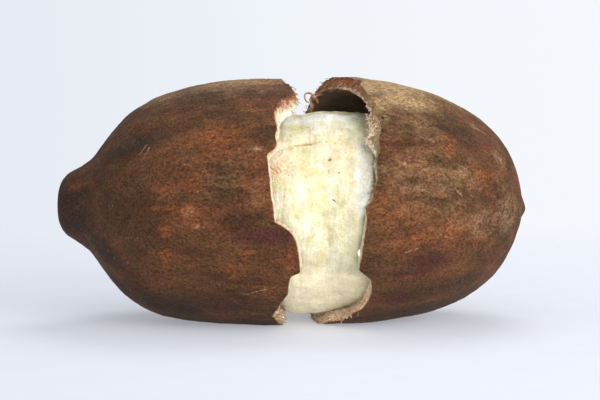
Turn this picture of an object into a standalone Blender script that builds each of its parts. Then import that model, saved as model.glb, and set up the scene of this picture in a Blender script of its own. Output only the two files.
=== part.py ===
"""A ripe cupuacu fruit lying on its side, cracked open across the middle.

The woody shell has broken into two cups, one with the stem's stub and one with the pointed tip. They
are drawn a little apart, and the soft mass of pulp lies across both, settled to the bottom of the shell.

X runs along the fruit from the stem end to the tip, Z is up, and the near side looks along +Y.
The origin is on the table, under the middle of the fruit's box.
Angles go round the fruit: 0 faces the near side, 90 is the top, 180 the far side and -90 the table.
"""

import math

import bmesh
import bpy
from mathutils import Vector

MM = 0.001  # lengths below are in millimetres, and Blender's are in metres

# Driving dimensions
HALF_LENGTH = 112.4  # from the middle of the fruit's box to each end
END_CLEARANCE = 3.0  # from the pulp's ends to the ends of the hollow
FLOOR_CLEARANCE = 0.5  # from the pulp's underside to the shell that it lies on
MOST_SETTLING = 4.8  # how far the pulp's middle lies below the hollow's

# Turned outlines, as distance from the end of the fruit and radius
STEM_OUTSIDE = (
    (1.0, 0), (0.7, 4.0), (0.1, 7.0), (0.8, 9.8), (2.3, 12.6), (4.6, 15.0), (8.2, 17.2), (11.8, 19.5),
    (16.2, 23.1), (21.3, 29.8), (27.3, 37.6), (34.3, 44.3), (42.3, 49.3), (51, 52.7), (67, 56.3),
    (87, 58.3), (107, 58.6), (130, 58.6),
)
STEM_HOLLOW = (
    (23, 0), (23.6, 9), (26, 20.3), (31, 30.2), (37.5, 37.8), (46, 43.8), (55, 47.3), (69, 50.7),
    (88, 52.6), (108, 52.9), (130, 52.9),
)
TIP_OUTSIDE = (
    (0, 0), (0.5, 2.0), (1.4, 4.0), (2.5, 6.4), (3.2, 9.6), (4.6, 14.5), (6.5, 19.8), (9.4, 25.6),
    (13.5, 31.6), (19, 37.3), (26.5, 43.0), (36, 48.2), (50, 53.7), (67, 57.2), (86, 58.9),
    (105, 59.2), (120, 59.2),
)
TIP_HOLLOW = (
    (8.3, 0), (8.8, 8), (11.8, 18.2), (18.2, 28), (26.6, 35.9), (38.2, 42.8), (52, 48.1), (69, 51.6),
    (87, 53.3), (105, 53.5), (120, 53.5),
)

# The axis of each half, as distance from its end, sideways shift and height
STEM_AXIS = ((0, -1.5, 56.1), (8, -1.5, 56.1), (16, -1.5, 55.6), (24, -1.5, 55.4), (42, -1.5, 55.6),
             (57, -1.5, 56.4), (71, -1.5, 57.3), (95, -1.5, 57.7), (130, -1.5, 57.7))
TIP_AXIS = ((0, 9.5, 53.6), (3, 9.2, 55.2), (5, 9.0, 56.4), (9, 8.5, 56.6), (24, 7.0, 56.6),
            (40, 5.5, 56.8), (54, 4.3, 57.2), (70, 3.0, 57.7), (88, 1.8, 58.2), (120, 1.2, 58.3))

# The broken edges, as angle round the fruit and X of the skin's edge
STEM_CRACK = (
    (-175, -14.5), (-166, -16.5), (-152, -11.5), (-138, -14.5), (-120, -9.5), (-105, -10.0), (-90, -7.0),
    (-80, -5.5), (-73, -6.0), (-66, -8.5), (-60, -10.0), (-54, -8.0), (-48, -6.0), (-42, -2.5),
    (-33, -2.0), (-31, -1.0), (-29, 3.0), (-20, 2.0), (-13, 1.0), (-9, -1.5), (-7, -4.5), (-5, -8.5),
    (3, -9.5), (11, -10.5), (25, -12.0), (28, -8.5), (30, -7.5), (35, -8.5), (38, -7.5), (41, -8.0),
    (46, -9.0), (50, -9.0), (52, -7.0), (57, -6.0), (59, -4.0), (61, -1.0), (63, 0.0), (68, -1.0),
    (73, -2.5), (75, -4.5), (82, -5.5), (90, -6.5), (98, -8.0), (108, -6.5), (122, -11.0),
    (136, -9.5), (150, -14.0), (165, -10.5),
)
TIP_CRACK = (
    (-175, 1.5), (-163, 2.5), (-150, 6.0), (-135, 5.0), (-120, 7.0), (-105, 8.0), (-90, 9.0),
    (-80, 11.0), (-73, 15.5), (-69, 21.0), (-61, 27.0), (-56, 31.0), (-49, 34.0), (-41, 35.5),
    (-34, 35.0), (-32, 33.0), (-29, 29.5), (-21, 30.5), (-15, 31.5), (-6, 32.5), (1, 32.0), (4, 34.5),
    (6, 36.0), (8, 35.0), (12, 37.5), (15, 38.0), (23, 37.0), (25, 38.0), (31, 38.5), (38, 39.5),
    (46, 37.5), (54, 37.5), (59, 35.0), (65, 32.5), (74, 31.0), (81, 28.5), (90, 22.5), (96, 18.0),
    (109, 14.0), (117, 11.0), (127, 8.5), (135, 6.0), (150, 3.0), (165, 0.0),
)

# How far the wall's inner layer stands past the broken skin, as angle and length along the fruit
STEM_LEDGE = ((-180, 1.5), (-70, 1.5), (-60, 3.0), (-50, 1.5), (38, 1.5), (42, 2.0), (46, 3.0),
              (50, 5.5), (54, 6.5), (58, 5.5), (61, 2.0), (64, 1.5), (180, 1.5))
TIP_LEDGE = ((-180, 1.0), (-110, 0.0), (-95, -2.5), (-80, -4.0), (-66, -4.0), (-58, -2.0), (-52, 0.0),
             (-44, 1.0), (-30, 1.0), (27, 1.5), (31, 4.0), (35, 6.0), (39, 5.5), (44, 3.5), (52, 3.0),
             (58, 2.0), (62, 0.5), (68, 0.5), (74, 2.0), (82, 3.0), (90, 2.0), (105, 1.5), (180, 1.5))

# The pulp's section against the hollow's, and the soft furrows between its parcels of seed
PULP_WIDTH_SHARE = 0.935
PULP_HEIGHT_SHARE = 0.9
FURROW_DEPTH = 1.6
FURROW_WIDTH = 6.0
FURROW_FADE = 20.0  # furrows are shallower where the pulp's radius is under this
LONG_FURROWS = (28, 98, 168, -122, -30)  # angles of those that run the length of the pulp
CROSS_FURROWS = (  # X of those that cross each column, from the angle where the column starts
    (-30, (-64, -37, -12, 14.5, 40, 66)),
    (28, (-52, -24, 3, 29, 54, 78)),
    (98, (-66, -40, -13, 12, 38, 63)),
    (168, (-50, -25, 0, 26, 52, 76)),
    (-122, (-62, -35, -8, 18, 44, 70)),
)

# Where the pulp passes from the stem half's hollow to the tip half's
PASSING_FROM = -10.0
PASSING_LENGTH = 30.0

# Fineness of the solids
WIDEST_STEP = 7.5  # degrees between the points of a ring
LONGEST_RUN = 9.0  # from one ring to the next along the outline
SHORTEST_RUN = 1.2
SHARPEST_TURN = math.radians(9)
LEANING_RINGS = 3
STEM_COLLAR = -25.0  # X where the rings begin to lean with the broken edge
TIP_COLLAR = 50.0
PULP_RINGS = 34
PULP_SIDES = 60
CURVE_STEPS = 12

SKIN_BROWN = (0.130, 0.060, 0.032, 1.0)
PULP_CREAM = (0.870, 0.790, 0.560, 1.0)


def clear_scene():
    for obj in list(bpy.data.objects):
        bpy.data.objects.remove(obj, do_unlink=True)


def new_collection(name):
    collection = bpy.data.collections.new(name)
    bpy.context.scene.collection.children.link(collection)
    return collection


def plain_material(name, colour, roughness):
    material = bpy.data.materials.new(name)
    material.use_nodes = True
    shader = material.node_tree.nodes["Principled BSDF"]
    shader.inputs["Base Color"].default_value = colour
    shader.inputs["Roughness"].default_value = roughness
    shader.inputs["Metallic"].default_value = 0.0
    return material


def smooth_outline(points, steps=CURVE_STEPS):
    """A Catmull-Rom curve through the points, as a list of (distance, radius)."""
    curve = []
    for i in range(len(points) - 1):
        before = Vector(points[max(i - 1, 0)])
        start = Vector(points[i])
        end = Vector(points[i + 1])
        after = Vector(points[min(i + 2, len(points) - 1)])
        for k in range(steps):
            t = k / steps
            curve.append(
                0.5 * (
                    2 * start
                    + (end - before) * t
                    + (2 * before - 5 * start + 4 * end - after) * t * t
                    + (3 * start - before - 3 * end + after) * t * t * t
                )
            )
    curve.append(Vector(points[-1]))
    return [(max(p.x, 0.0), max(p.y, 0.0)) for p in curve]


def read_at(table, at, column=1):
    """The value of a column where the first column is at, on straight lines between the rows."""
    if at <= table[0][0]:
        return table[0][column]
    for low, high in zip(table, table[1:]):
        if low[0] <= at <= high[0] and high[0] > low[0]:
            share = (at - low[0]) / (high[0] - low[0])
            return low[column] + (high[column] - low[column]) * share
    return table[-1][column]


def read_round(table, angle, column=1):
    """read_at for a table that goes round the fruit, whose last row leads back to its first."""
    closed = list(table) + [(table[0][0] + 360, *table[0][1:])]
    return read_at(closed, angle if angle >= table[0][0] else angle + 360, column)


def stations_along(curve, end):
    """Places on the curve out to a distance from its end, closer together where it bends."""
    kept = []
    last, heading = curve[0], None
    for before, point in zip(curve, curve[1:]):
        if point[0] >= end:
            break
        way = math.atan2(point[1] - before[1], point[0] - before[0])
        heading = way if heading is None else heading
        run = math.dist(last, point)
        if run > LONGEST_RUN or (run > SHORTEST_RUN and abs(way - heading) > SHARPEST_TURN):
            kept.append(point)
            last, heading = point, way
    return kept + [(end, read_at(curve, end))]


def ring_angles(crack):
    """The angles of the crack's corners, with more between them where they are far apart."""
    angles = [row[0] for row in crack]
    filled = []
    for a, b in zip(angles, angles[1:] + [angles[0] + 360]):
        parts = max(1, math.ceil((b - a) / WIDEST_STEP))
        filled += [a + (b - a) * k / parts for k in range(parts)]
    return filled


def on_table(point):
    """A soft skin point that would sink into the table lies flat on it."""
    return Vector((point.x, point.y, max(point.z, 0.0)))


def point_on_half(end_x, axis, x, radius, angle):
    """A point at an angle round the half whose end is at end_x, in millimetres."""
    distance = abs(x - end_x)
    turn = math.radians(angle)
    return Vector((
        x,
        read_at(axis, distance, 1) - radius * math.cos(turn),
        read_at(axis, distance, 2) + radius * math.sin(turn),
    ))


def loft(name, start, rings, end, material, collection):
    """A closed skin over rings of equal count, drawn to a point at each end."""
    mesh = bpy.data.meshes.new(name)
    bm = bmesh.new()
    rows = [[bm.verts.new(point * MM) for point in ring] for ring in rings]
    first = bm.verts.new(start * MM)
    last = bm.verts.new(end * MM)
    count = len(rings[0])
    for i in range(count):
        j = (i + 1) % count
        bm.faces.new((first, rows[0][i], rows[0][j]))
        for near, far in zip(rows, rows[1:]):
            bm.faces.new((near[i], far[i], far[j], near[j]))
        bm.faces.new((last, rows[-1][j], rows[-1][i]))
    bmesh.ops.recalc_face_normals(bm, faces=bm.faces)
    bm.to_mesh(mesh)
    bm.free()
    mesh.shade_smooth()
    mesh.set_sharp_from_angle(angle=math.radians(45))
    mesh.materials.append(material)
    obj = bpy.data.objects.new(name, mesh)
    collection.objects.link(obj)
    return obj


def shell_half(name, end_x, outside, hollow, axis, crack, ledge, collar, material, collection):
    """One cup of the broken shell: out along its skin, over the broken edge and back along its hollow."""
    inward = 1 if end_x < 0 else -1
    skin, lining = smooth_outline(outside), smooth_outline(hollow)
    angles = ring_angles(crack)

    def level_rings(curve):
        return [
            [point_on_half(end_x, axis, end_x + inward * distance, radius, angle) for angle in angles]
            for distance, radius in stations_along(curve, abs(collar - end_x))
        ]

    def leaning_ring(curve, share, past_skin):
        ring = []
        for angle in angles:
            edge = read_round(crack, angle) + inward * past_skin * read_round(ledge, angle)
            x = collar + (edge - collar) * share
            ring.append(point_on_half(end_x, axis, x, read_at(curve, abs(x - end_x)), angle))
        return ring

    shares = [(k + 1) / LEANING_RINGS for k in range(LEANING_RINGS)]
    outer = level_rings(skin) + [leaning_ring(skin, share, 0) for share in shares]
    outer = [[on_table(point) for point in ring] for ring in outer]
    inner = [leaning_ring(lining, share, 1) for share in reversed(shares)] + level_rings(lining)[::-1]
    start = point_on_half(end_x, axis, end_x + inward * skin[0][0], 0, 0)
    end = point_on_half(end_x, axis, end_x + inward * lining[0][0], 0, 0)
    return loft(name, start, outer + inner, end, material, collection)


def hollow_at(x, curves):
    """The radius that the pulp can fill at x, and the hollow's radius, sideways shift and height there."""
    stem, tip = curves
    from_stem, from_tip = x + HALF_LENGTH, HALF_LENGTH - x
    share = min(max((x - PASSING_FROM) / PASSING_LENGTH, 0.0), 1.0)
    blend = share * share * (3 - 2 * share)

    def between(a, b):
        return a + (b - a) * blend

    return (
        min(read_at(stem, from_stem - END_CLEARANCE), read_at(tip, from_tip - END_CLEARANCE)),
        between(read_at(stem, from_stem), read_at(tip, from_tip)),
        between(read_at(STEM_AXIS, from_stem, 1), read_at(TIP_AXIS, from_tip, 1)),
        between(read_at(STEM_AXIS, from_stem, 2), read_at(TIP_AXIS, from_tip, 2)),
    )


def furrow(x, angle, radius):
    """How deep the pulp's surface dips at a place, where parcels of seed meet."""
    def dip(away):
        return math.exp(-((away / FURROW_WIDTH) ** 2))

    def turn_between(a, b):
        return abs((a - b + 180) % 360 - 180)

    depth = max(dip(math.radians(turn_between(angle, a)) * radius) for a in LONG_FURROWS)
    starts = sorted(CROSS_FURROWS, key=lambda row: (angle - row[0]) % 360)
    depth = max(depth, max(dip(x - at) for at in starts[0][1]))
    return FURROW_DEPTH * depth


def pulp_ring(x, curves):
    fill, radius, side, height = hollow_at(x, curves)
    wide, tall = PULP_WIDTH_SHARE * fill, PULP_HEIGHT_SHARE * fill
    settled = height - min(MOST_SETTLING, radius - tall - FLOOR_CLEARANCE)
    ring = []
    for k in range(PULP_SIDES):
        angle = 360 * k / PULP_SIDES
        turn = math.radians(angle)
        in_share = 1 - furrow(x, angle, fill) / max(fill, FURROW_FADE)
        ring.append(Vector((
            x,
            side - wide * in_share * math.cos(turn),
            settled + tall * in_share * math.sin(turn),
        )))
    return ring


def pulp_mass(material, collection):
    curves = (smooth_outline(STEM_HOLLOW), smooth_outline(TIP_HOLLOW))
    low = -HALF_LENGTH + STEM_HOLLOW[0][0] + END_CLEARANCE
    high = HALF_LENGTH - TIP_HOLLOW[0][0] - END_CLEARANCE
    middle, reach = (low + high) / 2, (high - low) / 2
    # cosine spacing draws the rings closer together towards the round ends
    stations = [middle - reach * math.cos(math.pi * (k + 1) / (PULP_RINGS + 1)) for k in range(PULP_RINGS)]
    rings = [pulp_ring(x, curves) for x in stations]

    def end_point(x, ring):
        centre = sum(ring, Vector()) / len(ring)
        return Vector((x, centre.y, centre.z))

    return loft("pulp", end_point(low, rings[0]), rings, end_point(high, rings[-1]), material, collection)


def main():
    clear_scene()
    fruit = new_collection("cupuacu_fruit")
    skin = plain_material("shell", SKIN_BROWN, 0.85)
    cream = plain_material("pulp", PULP_CREAM, 0.45)
    shell_half("shell_stem_half", -HALF_LENGTH, STEM_OUTSIDE, STEM_HOLLOW, STEM_AXIS, STEM_CRACK,
               STEM_LEDGE, STEM_COLLAR, skin, fruit)
    shell_half("shell_tip_half", HALF_LENGTH, TIP_OUTSIDE, TIP_HOLLOW, TIP_AXIS, TIP_CRACK,
               TIP_LEDGE, TIP_COLLAR, skin, fruit)
    pulp_mass(cream, fruit)


main()
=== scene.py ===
# %% [markdown]
# # A cupuacu fruit, cracked open
# The real thing is a brown, velvety fruit the size of a small melon. Its woody shell has snapped round
# the middle into two cups, and the cream pulp still lies across both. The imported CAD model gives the
# place and the size of everything. This script dresses it: each solid is drawn again with a far finer
# skin, the broken edges are torn and frayed, and every surface gets a finish of its own.

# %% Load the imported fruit
import math

import bmesh
import bpy
import numpy as np
from mathutils import Euler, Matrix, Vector


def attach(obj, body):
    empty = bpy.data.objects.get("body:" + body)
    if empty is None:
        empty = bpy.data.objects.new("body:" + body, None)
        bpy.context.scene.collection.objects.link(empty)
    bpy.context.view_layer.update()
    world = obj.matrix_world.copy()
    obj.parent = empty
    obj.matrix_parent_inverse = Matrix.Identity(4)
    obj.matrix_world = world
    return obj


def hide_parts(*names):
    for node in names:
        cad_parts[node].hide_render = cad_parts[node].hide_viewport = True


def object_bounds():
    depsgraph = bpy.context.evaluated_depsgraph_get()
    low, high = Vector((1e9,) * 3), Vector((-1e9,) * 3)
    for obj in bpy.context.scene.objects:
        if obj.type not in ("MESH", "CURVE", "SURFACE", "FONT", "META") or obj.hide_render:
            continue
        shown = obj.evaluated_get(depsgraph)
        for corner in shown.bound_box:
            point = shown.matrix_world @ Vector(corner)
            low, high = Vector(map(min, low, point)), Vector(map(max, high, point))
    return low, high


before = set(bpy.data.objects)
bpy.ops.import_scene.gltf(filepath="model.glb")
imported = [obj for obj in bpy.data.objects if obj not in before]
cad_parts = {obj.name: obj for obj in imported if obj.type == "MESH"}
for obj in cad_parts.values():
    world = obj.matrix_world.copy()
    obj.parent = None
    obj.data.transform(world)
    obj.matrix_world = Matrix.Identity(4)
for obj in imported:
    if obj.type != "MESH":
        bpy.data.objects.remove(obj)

cad_low, cad_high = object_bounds()
print("solids:", sorted(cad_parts), "box in mm:", [round(v * 1000, 1) for v in cad_high - cad_low])

# %% [markdown]
# ## Camera
# The fruit was photographed from close to table height, a little from above, with a long lens. A long
# lens hardly widens what is near, so the two ends keep their true size. The camera aims at the middle
# of the fruit and stands 75 cm away.

# %% Camera
MM = 0.001
CAMERA_AIM = Vector((2.8, 0.0, 58.4)) * MM
CAMERA_DISTANCE = 750 * MM
CAMERA_PITCH = math.radians(4.0)
CAMERA_LENS = 93.75
CAMERA_SENSOR = 36


def add_object(name, data):
    obj = bpy.data.objects.new(name, data)
    bpy.context.scene.collection.objects.link(obj)
    return obj


camera = add_object("camera", bpy.data.cameras.new("camera"))
camera.data.sensor_width = CAMERA_SENSOR
camera.data.lens = CAMERA_LENS
camera.rotation_euler = Euler((math.radians(90) - CAMERA_PITCH, 0, 0))
camera.location = CAMERA_AIM + CAMERA_DISTANCE * Vector((0, -math.cos(CAMERA_PITCH), math.sin(CAMERA_PITCH)))
bpy.context.scene.camera = camera
print("camera at", [round(v, 3) for v in camera.location])

# %% [markdown]
# ## Shader helpers
# Every finish is a small net of nodes. One helper adds a node and fills its inputs, either with plain
# values or with the outputs of other nodes, so that a material reads from top to bottom like a recipe.
# Another lays coats of colour over each other, each where its mask says. Colours are given as a screen
# shows them.

# %% Shader helpers


def paint(red, green, blue):
    """A colour as a screen shows it, 0 to 255, as the light amounts that Blender's shaders use."""
    def light(value):
        value /= 255
        return value / 12.92 if value <= 0.04045 else ((value + 0.055) / 1.055) ** 2.4
    return (light(red), light(green), light(blue), 1.0)


def fill(tree, node, inputs):
    """Links a node's inputs to the outputs given, or writes in plain values."""
    for name, value in inputs.items():
        if isinstance(value, bpy.types.NodeSocket):
            tree.links.new(value, node.inputs[name])
        else:
            node.inputs[name].default_value = value
    return node


def place(tree, kind, inputs=None, **options):
    node = tree.nodes.new(kind)
    for option, value in options.items():
        setattr(node, option, value)
    return fill(tree, node, inputs or {})


def work_out(tree, operation, *values):
    return place(tree, "ShaderNodeMath", dict(enumerate(values)), operation=operation).outputs[0]


def times(tree, value, share):
    return work_out(tree, "MULTIPLY", value, share)


def both(tree, first, share, second, other_share):
    """Two values added up, each times its share."""
    return work_out(tree, "MULTIPLY_ADD", first, share, times(tree, second, other_share))


def pushed(tree, value, noise, amount):
    """The value, pushed up and down by a noise that lies between 0 and 1."""
    return work_out(tree, "MULTIPLY_ADD", work_out(tree, "SUBTRACT", noise, 0.5), amount, value)


def between(tree, value, low, high, to_low=0.0, to_high=1.0):
    """The value's place between low and high, with soft ends."""
    return place(tree, "ShaderNodeMapRange", {
        "Value": value, "From Min": low, "From Max": high, "To Min": to_low, "To Max": to_high,
    }, interpolation_type="SMOOTHSTEP").outputs[0]


def colour_steps(tree, value, steps):
    node = place(tree, "ShaderNodeValToRGB", {"Fac": value})
    while len(node.color_ramp.elements) < len(steps):
        node.color_ramp.elements.new(0.5)
    for element, (at, colour) in zip(node.color_ramp.elements, steps):
        element.position = at
        element.color = colour
    return node.outputs["Color"]


def blend_colours(tree, share, first, second, how="MIX"):
    node = place(tree, "ShaderNodeMix", {0: share, 6: first, 7: second}, data_type="RGBA", blend_type=how)
    return node.outputs[2]


def coats(tree, colour, rows):
    """Lays coats over a colour, one after the other, each given as its share and its colour."""
    for share, coat in rows:
        colour = blend_colours(tree, share, colour, coat)
    return colour


def shaded(tree, colour, shade, blue=None):
    """The colour, lightened or darkened by a number. Blue may have a number of its own."""
    blue = shade if blue is None else blue
    grey = place(tree, "ShaderNodeCombineColor", {"Red": shade, "Green": shade, "Blue": blue})
    return blend_colours(tree, 1.0, colour, grey.outputs[0], "MULTIPLY")


def bumps(tree, height, depth, strength):
    node = place(tree, "ShaderNodeBump", {"Height": height, "Distance": depth, "Strength": strength})
    return node.outputs["Normal"]


def mark(tree, name):
    return place(tree, "ShaderNodeAttribute", attribute_name=name, attribute_type="GEOMETRY").outputs["Fac"]


def on_piece(tree):
    return place(tree, "ShaderNodeTexCoord").outputs["Object"]


def on_map(tree):
    return place(tree, "ShaderNodeUVMap", uv_map="unrolled").outputs[0]


def new_group(name, inputs, outputs, tree_kind="ShaderNodeTree"):
    group = bpy.data.node_groups.new(name, tree_kind)
    for socket, kind, value in inputs:
        made = group.interface.new_socket(socket, in_out="INPUT", socket_type="NodeSocket" + kind)
        if value is not None:
            made.default_value = value
    for socket, kind in outputs:
        group.interface.new_socket(socket, in_out="OUTPUT", socket_type="NodeSocket" + kind)
    return group, group.nodes.new("NodeGroupInput").outputs, group.nodes.new("NodeGroupOutput").inputs


def use_group(tree, group, inputs):
    return place(tree, "ShaderNodeGroup", inputs, node_tree=group).outputs[0]


def new_finish(name):
    material = bpy.data.materials.new(name)
    material.use_nodes = True
    return material, material.node_tree, material.node_tree.nodes["Principled BSDF"]


# %% [markdown]
# ## Floor and light
# The fruit lies on pale paper in a white room. The room gives most of the light, more from the camera's
# side, and the paper glows a little, as if it threw the room's light back, so it stays bright up to the
# fruit. One broad lamp, low on the front right, reaches under the fruit's belly, leaves the stem end
# darker and draws the soft shadow to the back left. Two weak lamps, above and on the right, lift the top
# and the tip. The paper fades out far from the fruit, so no horizon shows. Colours are shown as they
# are, with no film look, so that a brown given here comes out as that brown.

# %% Floor and light
FLOOR_RADIUS = 1.4
FLOOR_CORNERS = 64
PAPER_FADES = (0.16, 0.6)  # from the fruit, in metres
PAPER_GLOW = 0.33
ROOM_LIGHT_FRONT = 1.08
ROOM_LIGHT_BACK = 0.35
ROOM_WHITE = paint(240, 244, 252)


def lamp(name, spot, aim, size, power, colour=(1.0, 1.0, 1.0)):
    light = bpy.data.lights.new(name, "AREA")
    light.shape = "DISK"
    light.size = size
    light.energy = power
    light.color = colour
    obj = add_object(name, light)
    obj.location = spot
    obj.rotation_euler = (Vector(aim) - Vector(spot)).to_track_quat("-Z", "Y").to_euler()


def white_room():
    """A pale backdrop, a little darker on the left, that lights the fruit with less than it shows."""
    room = bpy.data.worlds.new("white_room")
    room.use_nodes = True
    tree = room.node_tree
    side = place(tree, "ShaderNodeSeparateXYZ", {0: place(tree, "ShaderNodeTexCoord").outputs["Generated"]})
    shown = fill(tree, tree.nodes["Background"], {
        "Color": colour_steps(tree, between(tree, side.outputs[0], -0.25, 0.2), (
            (0.0, paint(230, 234, 243)), (0.55, paint(240, 244, 249)), (1.0, paint(245, 248, 253))))})
    soft = place(tree, "ShaderNodeBackground", {
        "Color": ROOM_WHITE,
        "Strength": between(tree, side.outputs[1], 0.6, -0.6, ROOM_LIGHT_BACK, ROOM_LIGHT_FRONT)})
    seen = place(tree, "ShaderNodeLightPath").outputs["Is Camera Ray"]
    mixed = place(tree, "ShaderNodeMixShader", {0: seen, 1: soft.outputs[0], 2: shown.outputs[0]})
    tree.links.new(mixed.outputs[0], tree.nodes["World Output"].inputs["Surface"])
    return room


def pale_paper():
    material, tree, shader = new_finish("pale_paper")
    here = on_piece(tree)
    cloudy = place(tree, "ShaderNodeTexNoise", {"Vector": here, "Scale": 60.0, "Detail": 3.0}).outputs["Fac"]
    far = place(tree, "ShaderNodeVectorMath", {0: here}, operation="LENGTH").outputs["Value"]
    fill(tree, shader, {
        "Base Color": colour_steps(tree, cloudy, (
            (0.3, (0.465, 0.478, 0.522, 1)), (0.7, (0.48, 0.492, 0.537, 1)))),
        "Alpha": between(tree, far, PAPER_FADES[0], PAPER_FADES[1], 1.0, 0.0),
        "Roughness": 0.9, "Emission Color": ROOM_WHITE, "Emission Strength": PAPER_GLOW,
    })
    return material


def round_floor(finish):
    turns = np.linspace(0, math.tau, FLOOR_CORNERS, endpoint=False)
    rim = [(FLOOR_RADIUS * math.cos(a), FLOOR_RADIUS * math.sin(a), 0.0) for a in turns]
    mesh = bpy.data.meshes.new("studio_floor")
    mesh.from_pydata(rim, [], [list(range(FLOOR_CORNERS))])
    mesh.materials.append(finish)
    return add_object("studio_floor", mesh)


bpy.context.scene.world = white_room()
bpy.context.scene.view_settings.view_transform = "Standard"
floor = round_floor(pale_paper())
lamp("broad_lamp_front_right", (0.62, -0.92, 0.30), (0.0, 0.0, 0.05), 0.9, 11.4, (1.0, 0.985, 0.96))
lamp("weak_lamp_above", (0.15, 0.35, 0.85), (0.0, 0.0, 0.08), 0.5, 2.7)
lamp("weak_lamp_right", (1.0, -0.15, 0.35), (0.05, 0.0, 0.05), 0.5, 2.0)
print("paper floor, a white room at", ROOM_LIGHT_FRONT, "to", ROOM_LIGHT_BACK, "and three lamps")

# %% [markdown]
# ## The measures of the fruit
# These are the named values of the CAD source, apart from a few ledges of the broken wall, which are
# narrower here by less than a millimetre. The outlines are turned round each half's own axis, and each
# broken edge is a list of angles round the fruit with the place of the skin's edge there. Angle 0 faces
# the camera, 90 is the top, 180 the far side and -90 the table.

# %% Measures repeated from the CAD
HALF_LENGTH = 112.4
STEM_OUTSIDE = (
    (1.0, 0), (0.7, 4.0), (0.1, 7.0), (0.8, 9.8), (2.3, 12.6), (4.6, 15.0), (8.2, 17.2), (11.8, 19.5),
    (16.2, 23.1), (21.3, 29.8), (27.3, 37.6), (34.3, 44.3), (42.3, 49.3), (51, 52.7), (67, 56.3),
    (87, 58.3), (107, 58.6), (130, 58.6),
)
STEM_HOLLOW = (
    (23, 0), (23.6, 9), (26, 20.3), (31, 30.2), (37.5, 37.8), (46, 43.8), (55, 47.3), (69, 50.7),
    (88, 52.6), (108, 52.9), (130, 52.9),
)
TIP_OUTSIDE = (
    (0, 0), (0.5, 2.0), (1.4, 4.0), (2.5, 6.4), (3.2, 9.6), (4.6, 14.5), (6.5, 19.8), (9.4, 25.6),
    (13.5, 31.6), (19, 37.3), (26.5, 43.0), (36, 48.2), (50, 53.7), (67, 57.2), (86, 58.9),
    (105, 59.2), (120, 59.2),
)
TIP_HOLLOW = (
    (8.3, 0), (8.8, 8), (11.8, 18.2), (18.2, 28), (26.6, 35.9), (38.2, 42.8), (52, 48.1), (69, 51.6),
    (87, 53.3), (105, 53.5), (120, 53.5),
)
STEM_AXIS = ((0, -1.5, 56.1), (8, -1.5, 56.1), (16, -1.5, 55.6), (24, -1.5, 55.4), (42, -1.5, 55.6),
             (57, -1.5, 56.4), (71, -1.5, 57.3), (95, -1.5, 57.7), (130, -1.5, 57.7))
TIP_AXIS = ((0, 9.5, 53.6), (3, 9.2, 55.2), (5, 9.0, 56.4), (9, 8.5, 56.6), (24, 7.0, 56.6),
            (40, 5.5, 56.8), (54, 4.3, 57.2), (70, 3.0, 57.7), (88, 1.8, 58.2), (120, 1.2, 58.3))
STEM_CRACK = (
    (-175, -14.5), (-166, -16.5), (-152, -11.5), (-138, -14.5), (-120, -9.5), (-105, -10.0), (-90, -7.0),
    (-80, -5.5), (-73, -6.0), (-66, -8.5), (-60, -10.0), (-54, -8.0), (-48, -6.0), (-42, -2.5),
    (-33, -2.0), (-31, -1.0), (-29, 3.0), (-20, 2.0), (-13, 1.0), (-9, -1.5), (-7, -4.5), (-5, -8.5),
    (3, -9.5), (11, -10.5), (25, -12.0), (28, -8.5), (30, -7.5), (35, -8.5), (38, -7.5), (41, -8.0),
    (46, -9.0), (50, -9.0), (52, -7.0), (57, -6.0), (59, -4.0), (61, -1.0), (63, 0.0), (68, -1.0),
    (73, -2.5), (75, -4.5), (82, -5.5), (90, -6.5), (98, -8.0), (108, -6.5), (122, -11.0),
    (136, -9.5), (150, -14.0), (165, -10.5),
)
TIP_CRACK = (
    (-175, 1.5), (-163, 2.5), (-150, 6.0), (-135, 5.0), (-120, 7.0), (-105, 8.0), (-90, 9.0),
    (-80, 11.0), (-73, 15.5), (-69, 21.0), (-61, 27.0), (-56, 31.0), (-49, 34.0), (-41, 35.5),
    (-34, 35.0), (-32, 33.0), (-29, 29.5), (-21, 30.5), (-15, 31.5), (-6, 32.5), (1, 32.0), (4, 34.5),
    (6, 36.0), (8, 35.0), (12, 37.5), (15, 38.0), (23, 37.0), (25, 38.0), (31, 38.5), (38, 39.5),
    (46, 37.5), (54, 37.5), (59, 35.0), (65, 32.5), (74, 31.0), (81, 28.5), (90, 22.5), (96, 18.0),
    (109, 14.0), (117, 11.0), (127, 8.5), (135, 6.0), (150, 3.0), (165, 0.0),
)
STEM_LEDGE = ((-180, 1.5), (-70, 1.5), (-60, 3.0), (-50, 0.9), (38, 0.9), (42, 2.0), (46, 3.0),
              (50, 5.5), (54, 6.5), (58, 5.5), (61, 2.0), (64, 1.5), (180, 1.5))
TIP_LEDGE = ((-180, 1.0), (-110, 0.0), (-95, -2.5), (-80, -4.0), (-66, -4.0), (-58, -2.0), (-52, 0.0),
             (-44, 0.9), (-30, 0.8), (25, 0.9), (31, 4.0), (35, 6.0), (39, 5.5), (44, 3.5), (52, 2.5),
             (58, 1.2), (62, 0.5), (68, 0.5), (74, 2.0), (82, 3.0), (90, 2.0), (105, 1.5), (180, 1.5))
STEM_COLLAR = -25.0
TIP_COLLAR = 50.0
print("measures:", len(STEM_CRACK), "and", len(TIP_CRACK), "corners on the two broken edges")

# %% [markdown]
# ## Curves and natural unevenness
# A few small helpers do most of the shaping. Two draw a smooth curve through an outline's points. Two
# read a list that goes along the fruit or round it. The last two give smooth random heights, of one
# size or of several at once, from seeded blocks of numbers, so the same bumps come back each time the
# script runs.

# %% Curves and unevenness
NOISE_CELLS = 32


def curve_between(before, start, end, after, share):
    """A smooth curve's place between start and end."""
    return 0.5 * (
        2 * start
        + (end - before) * share
        + (2 * before - 5 * start + 4 * end - after) * share ** 2
        + (3 * start - before - 3 * end + after) * share ** 3
    )


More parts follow.
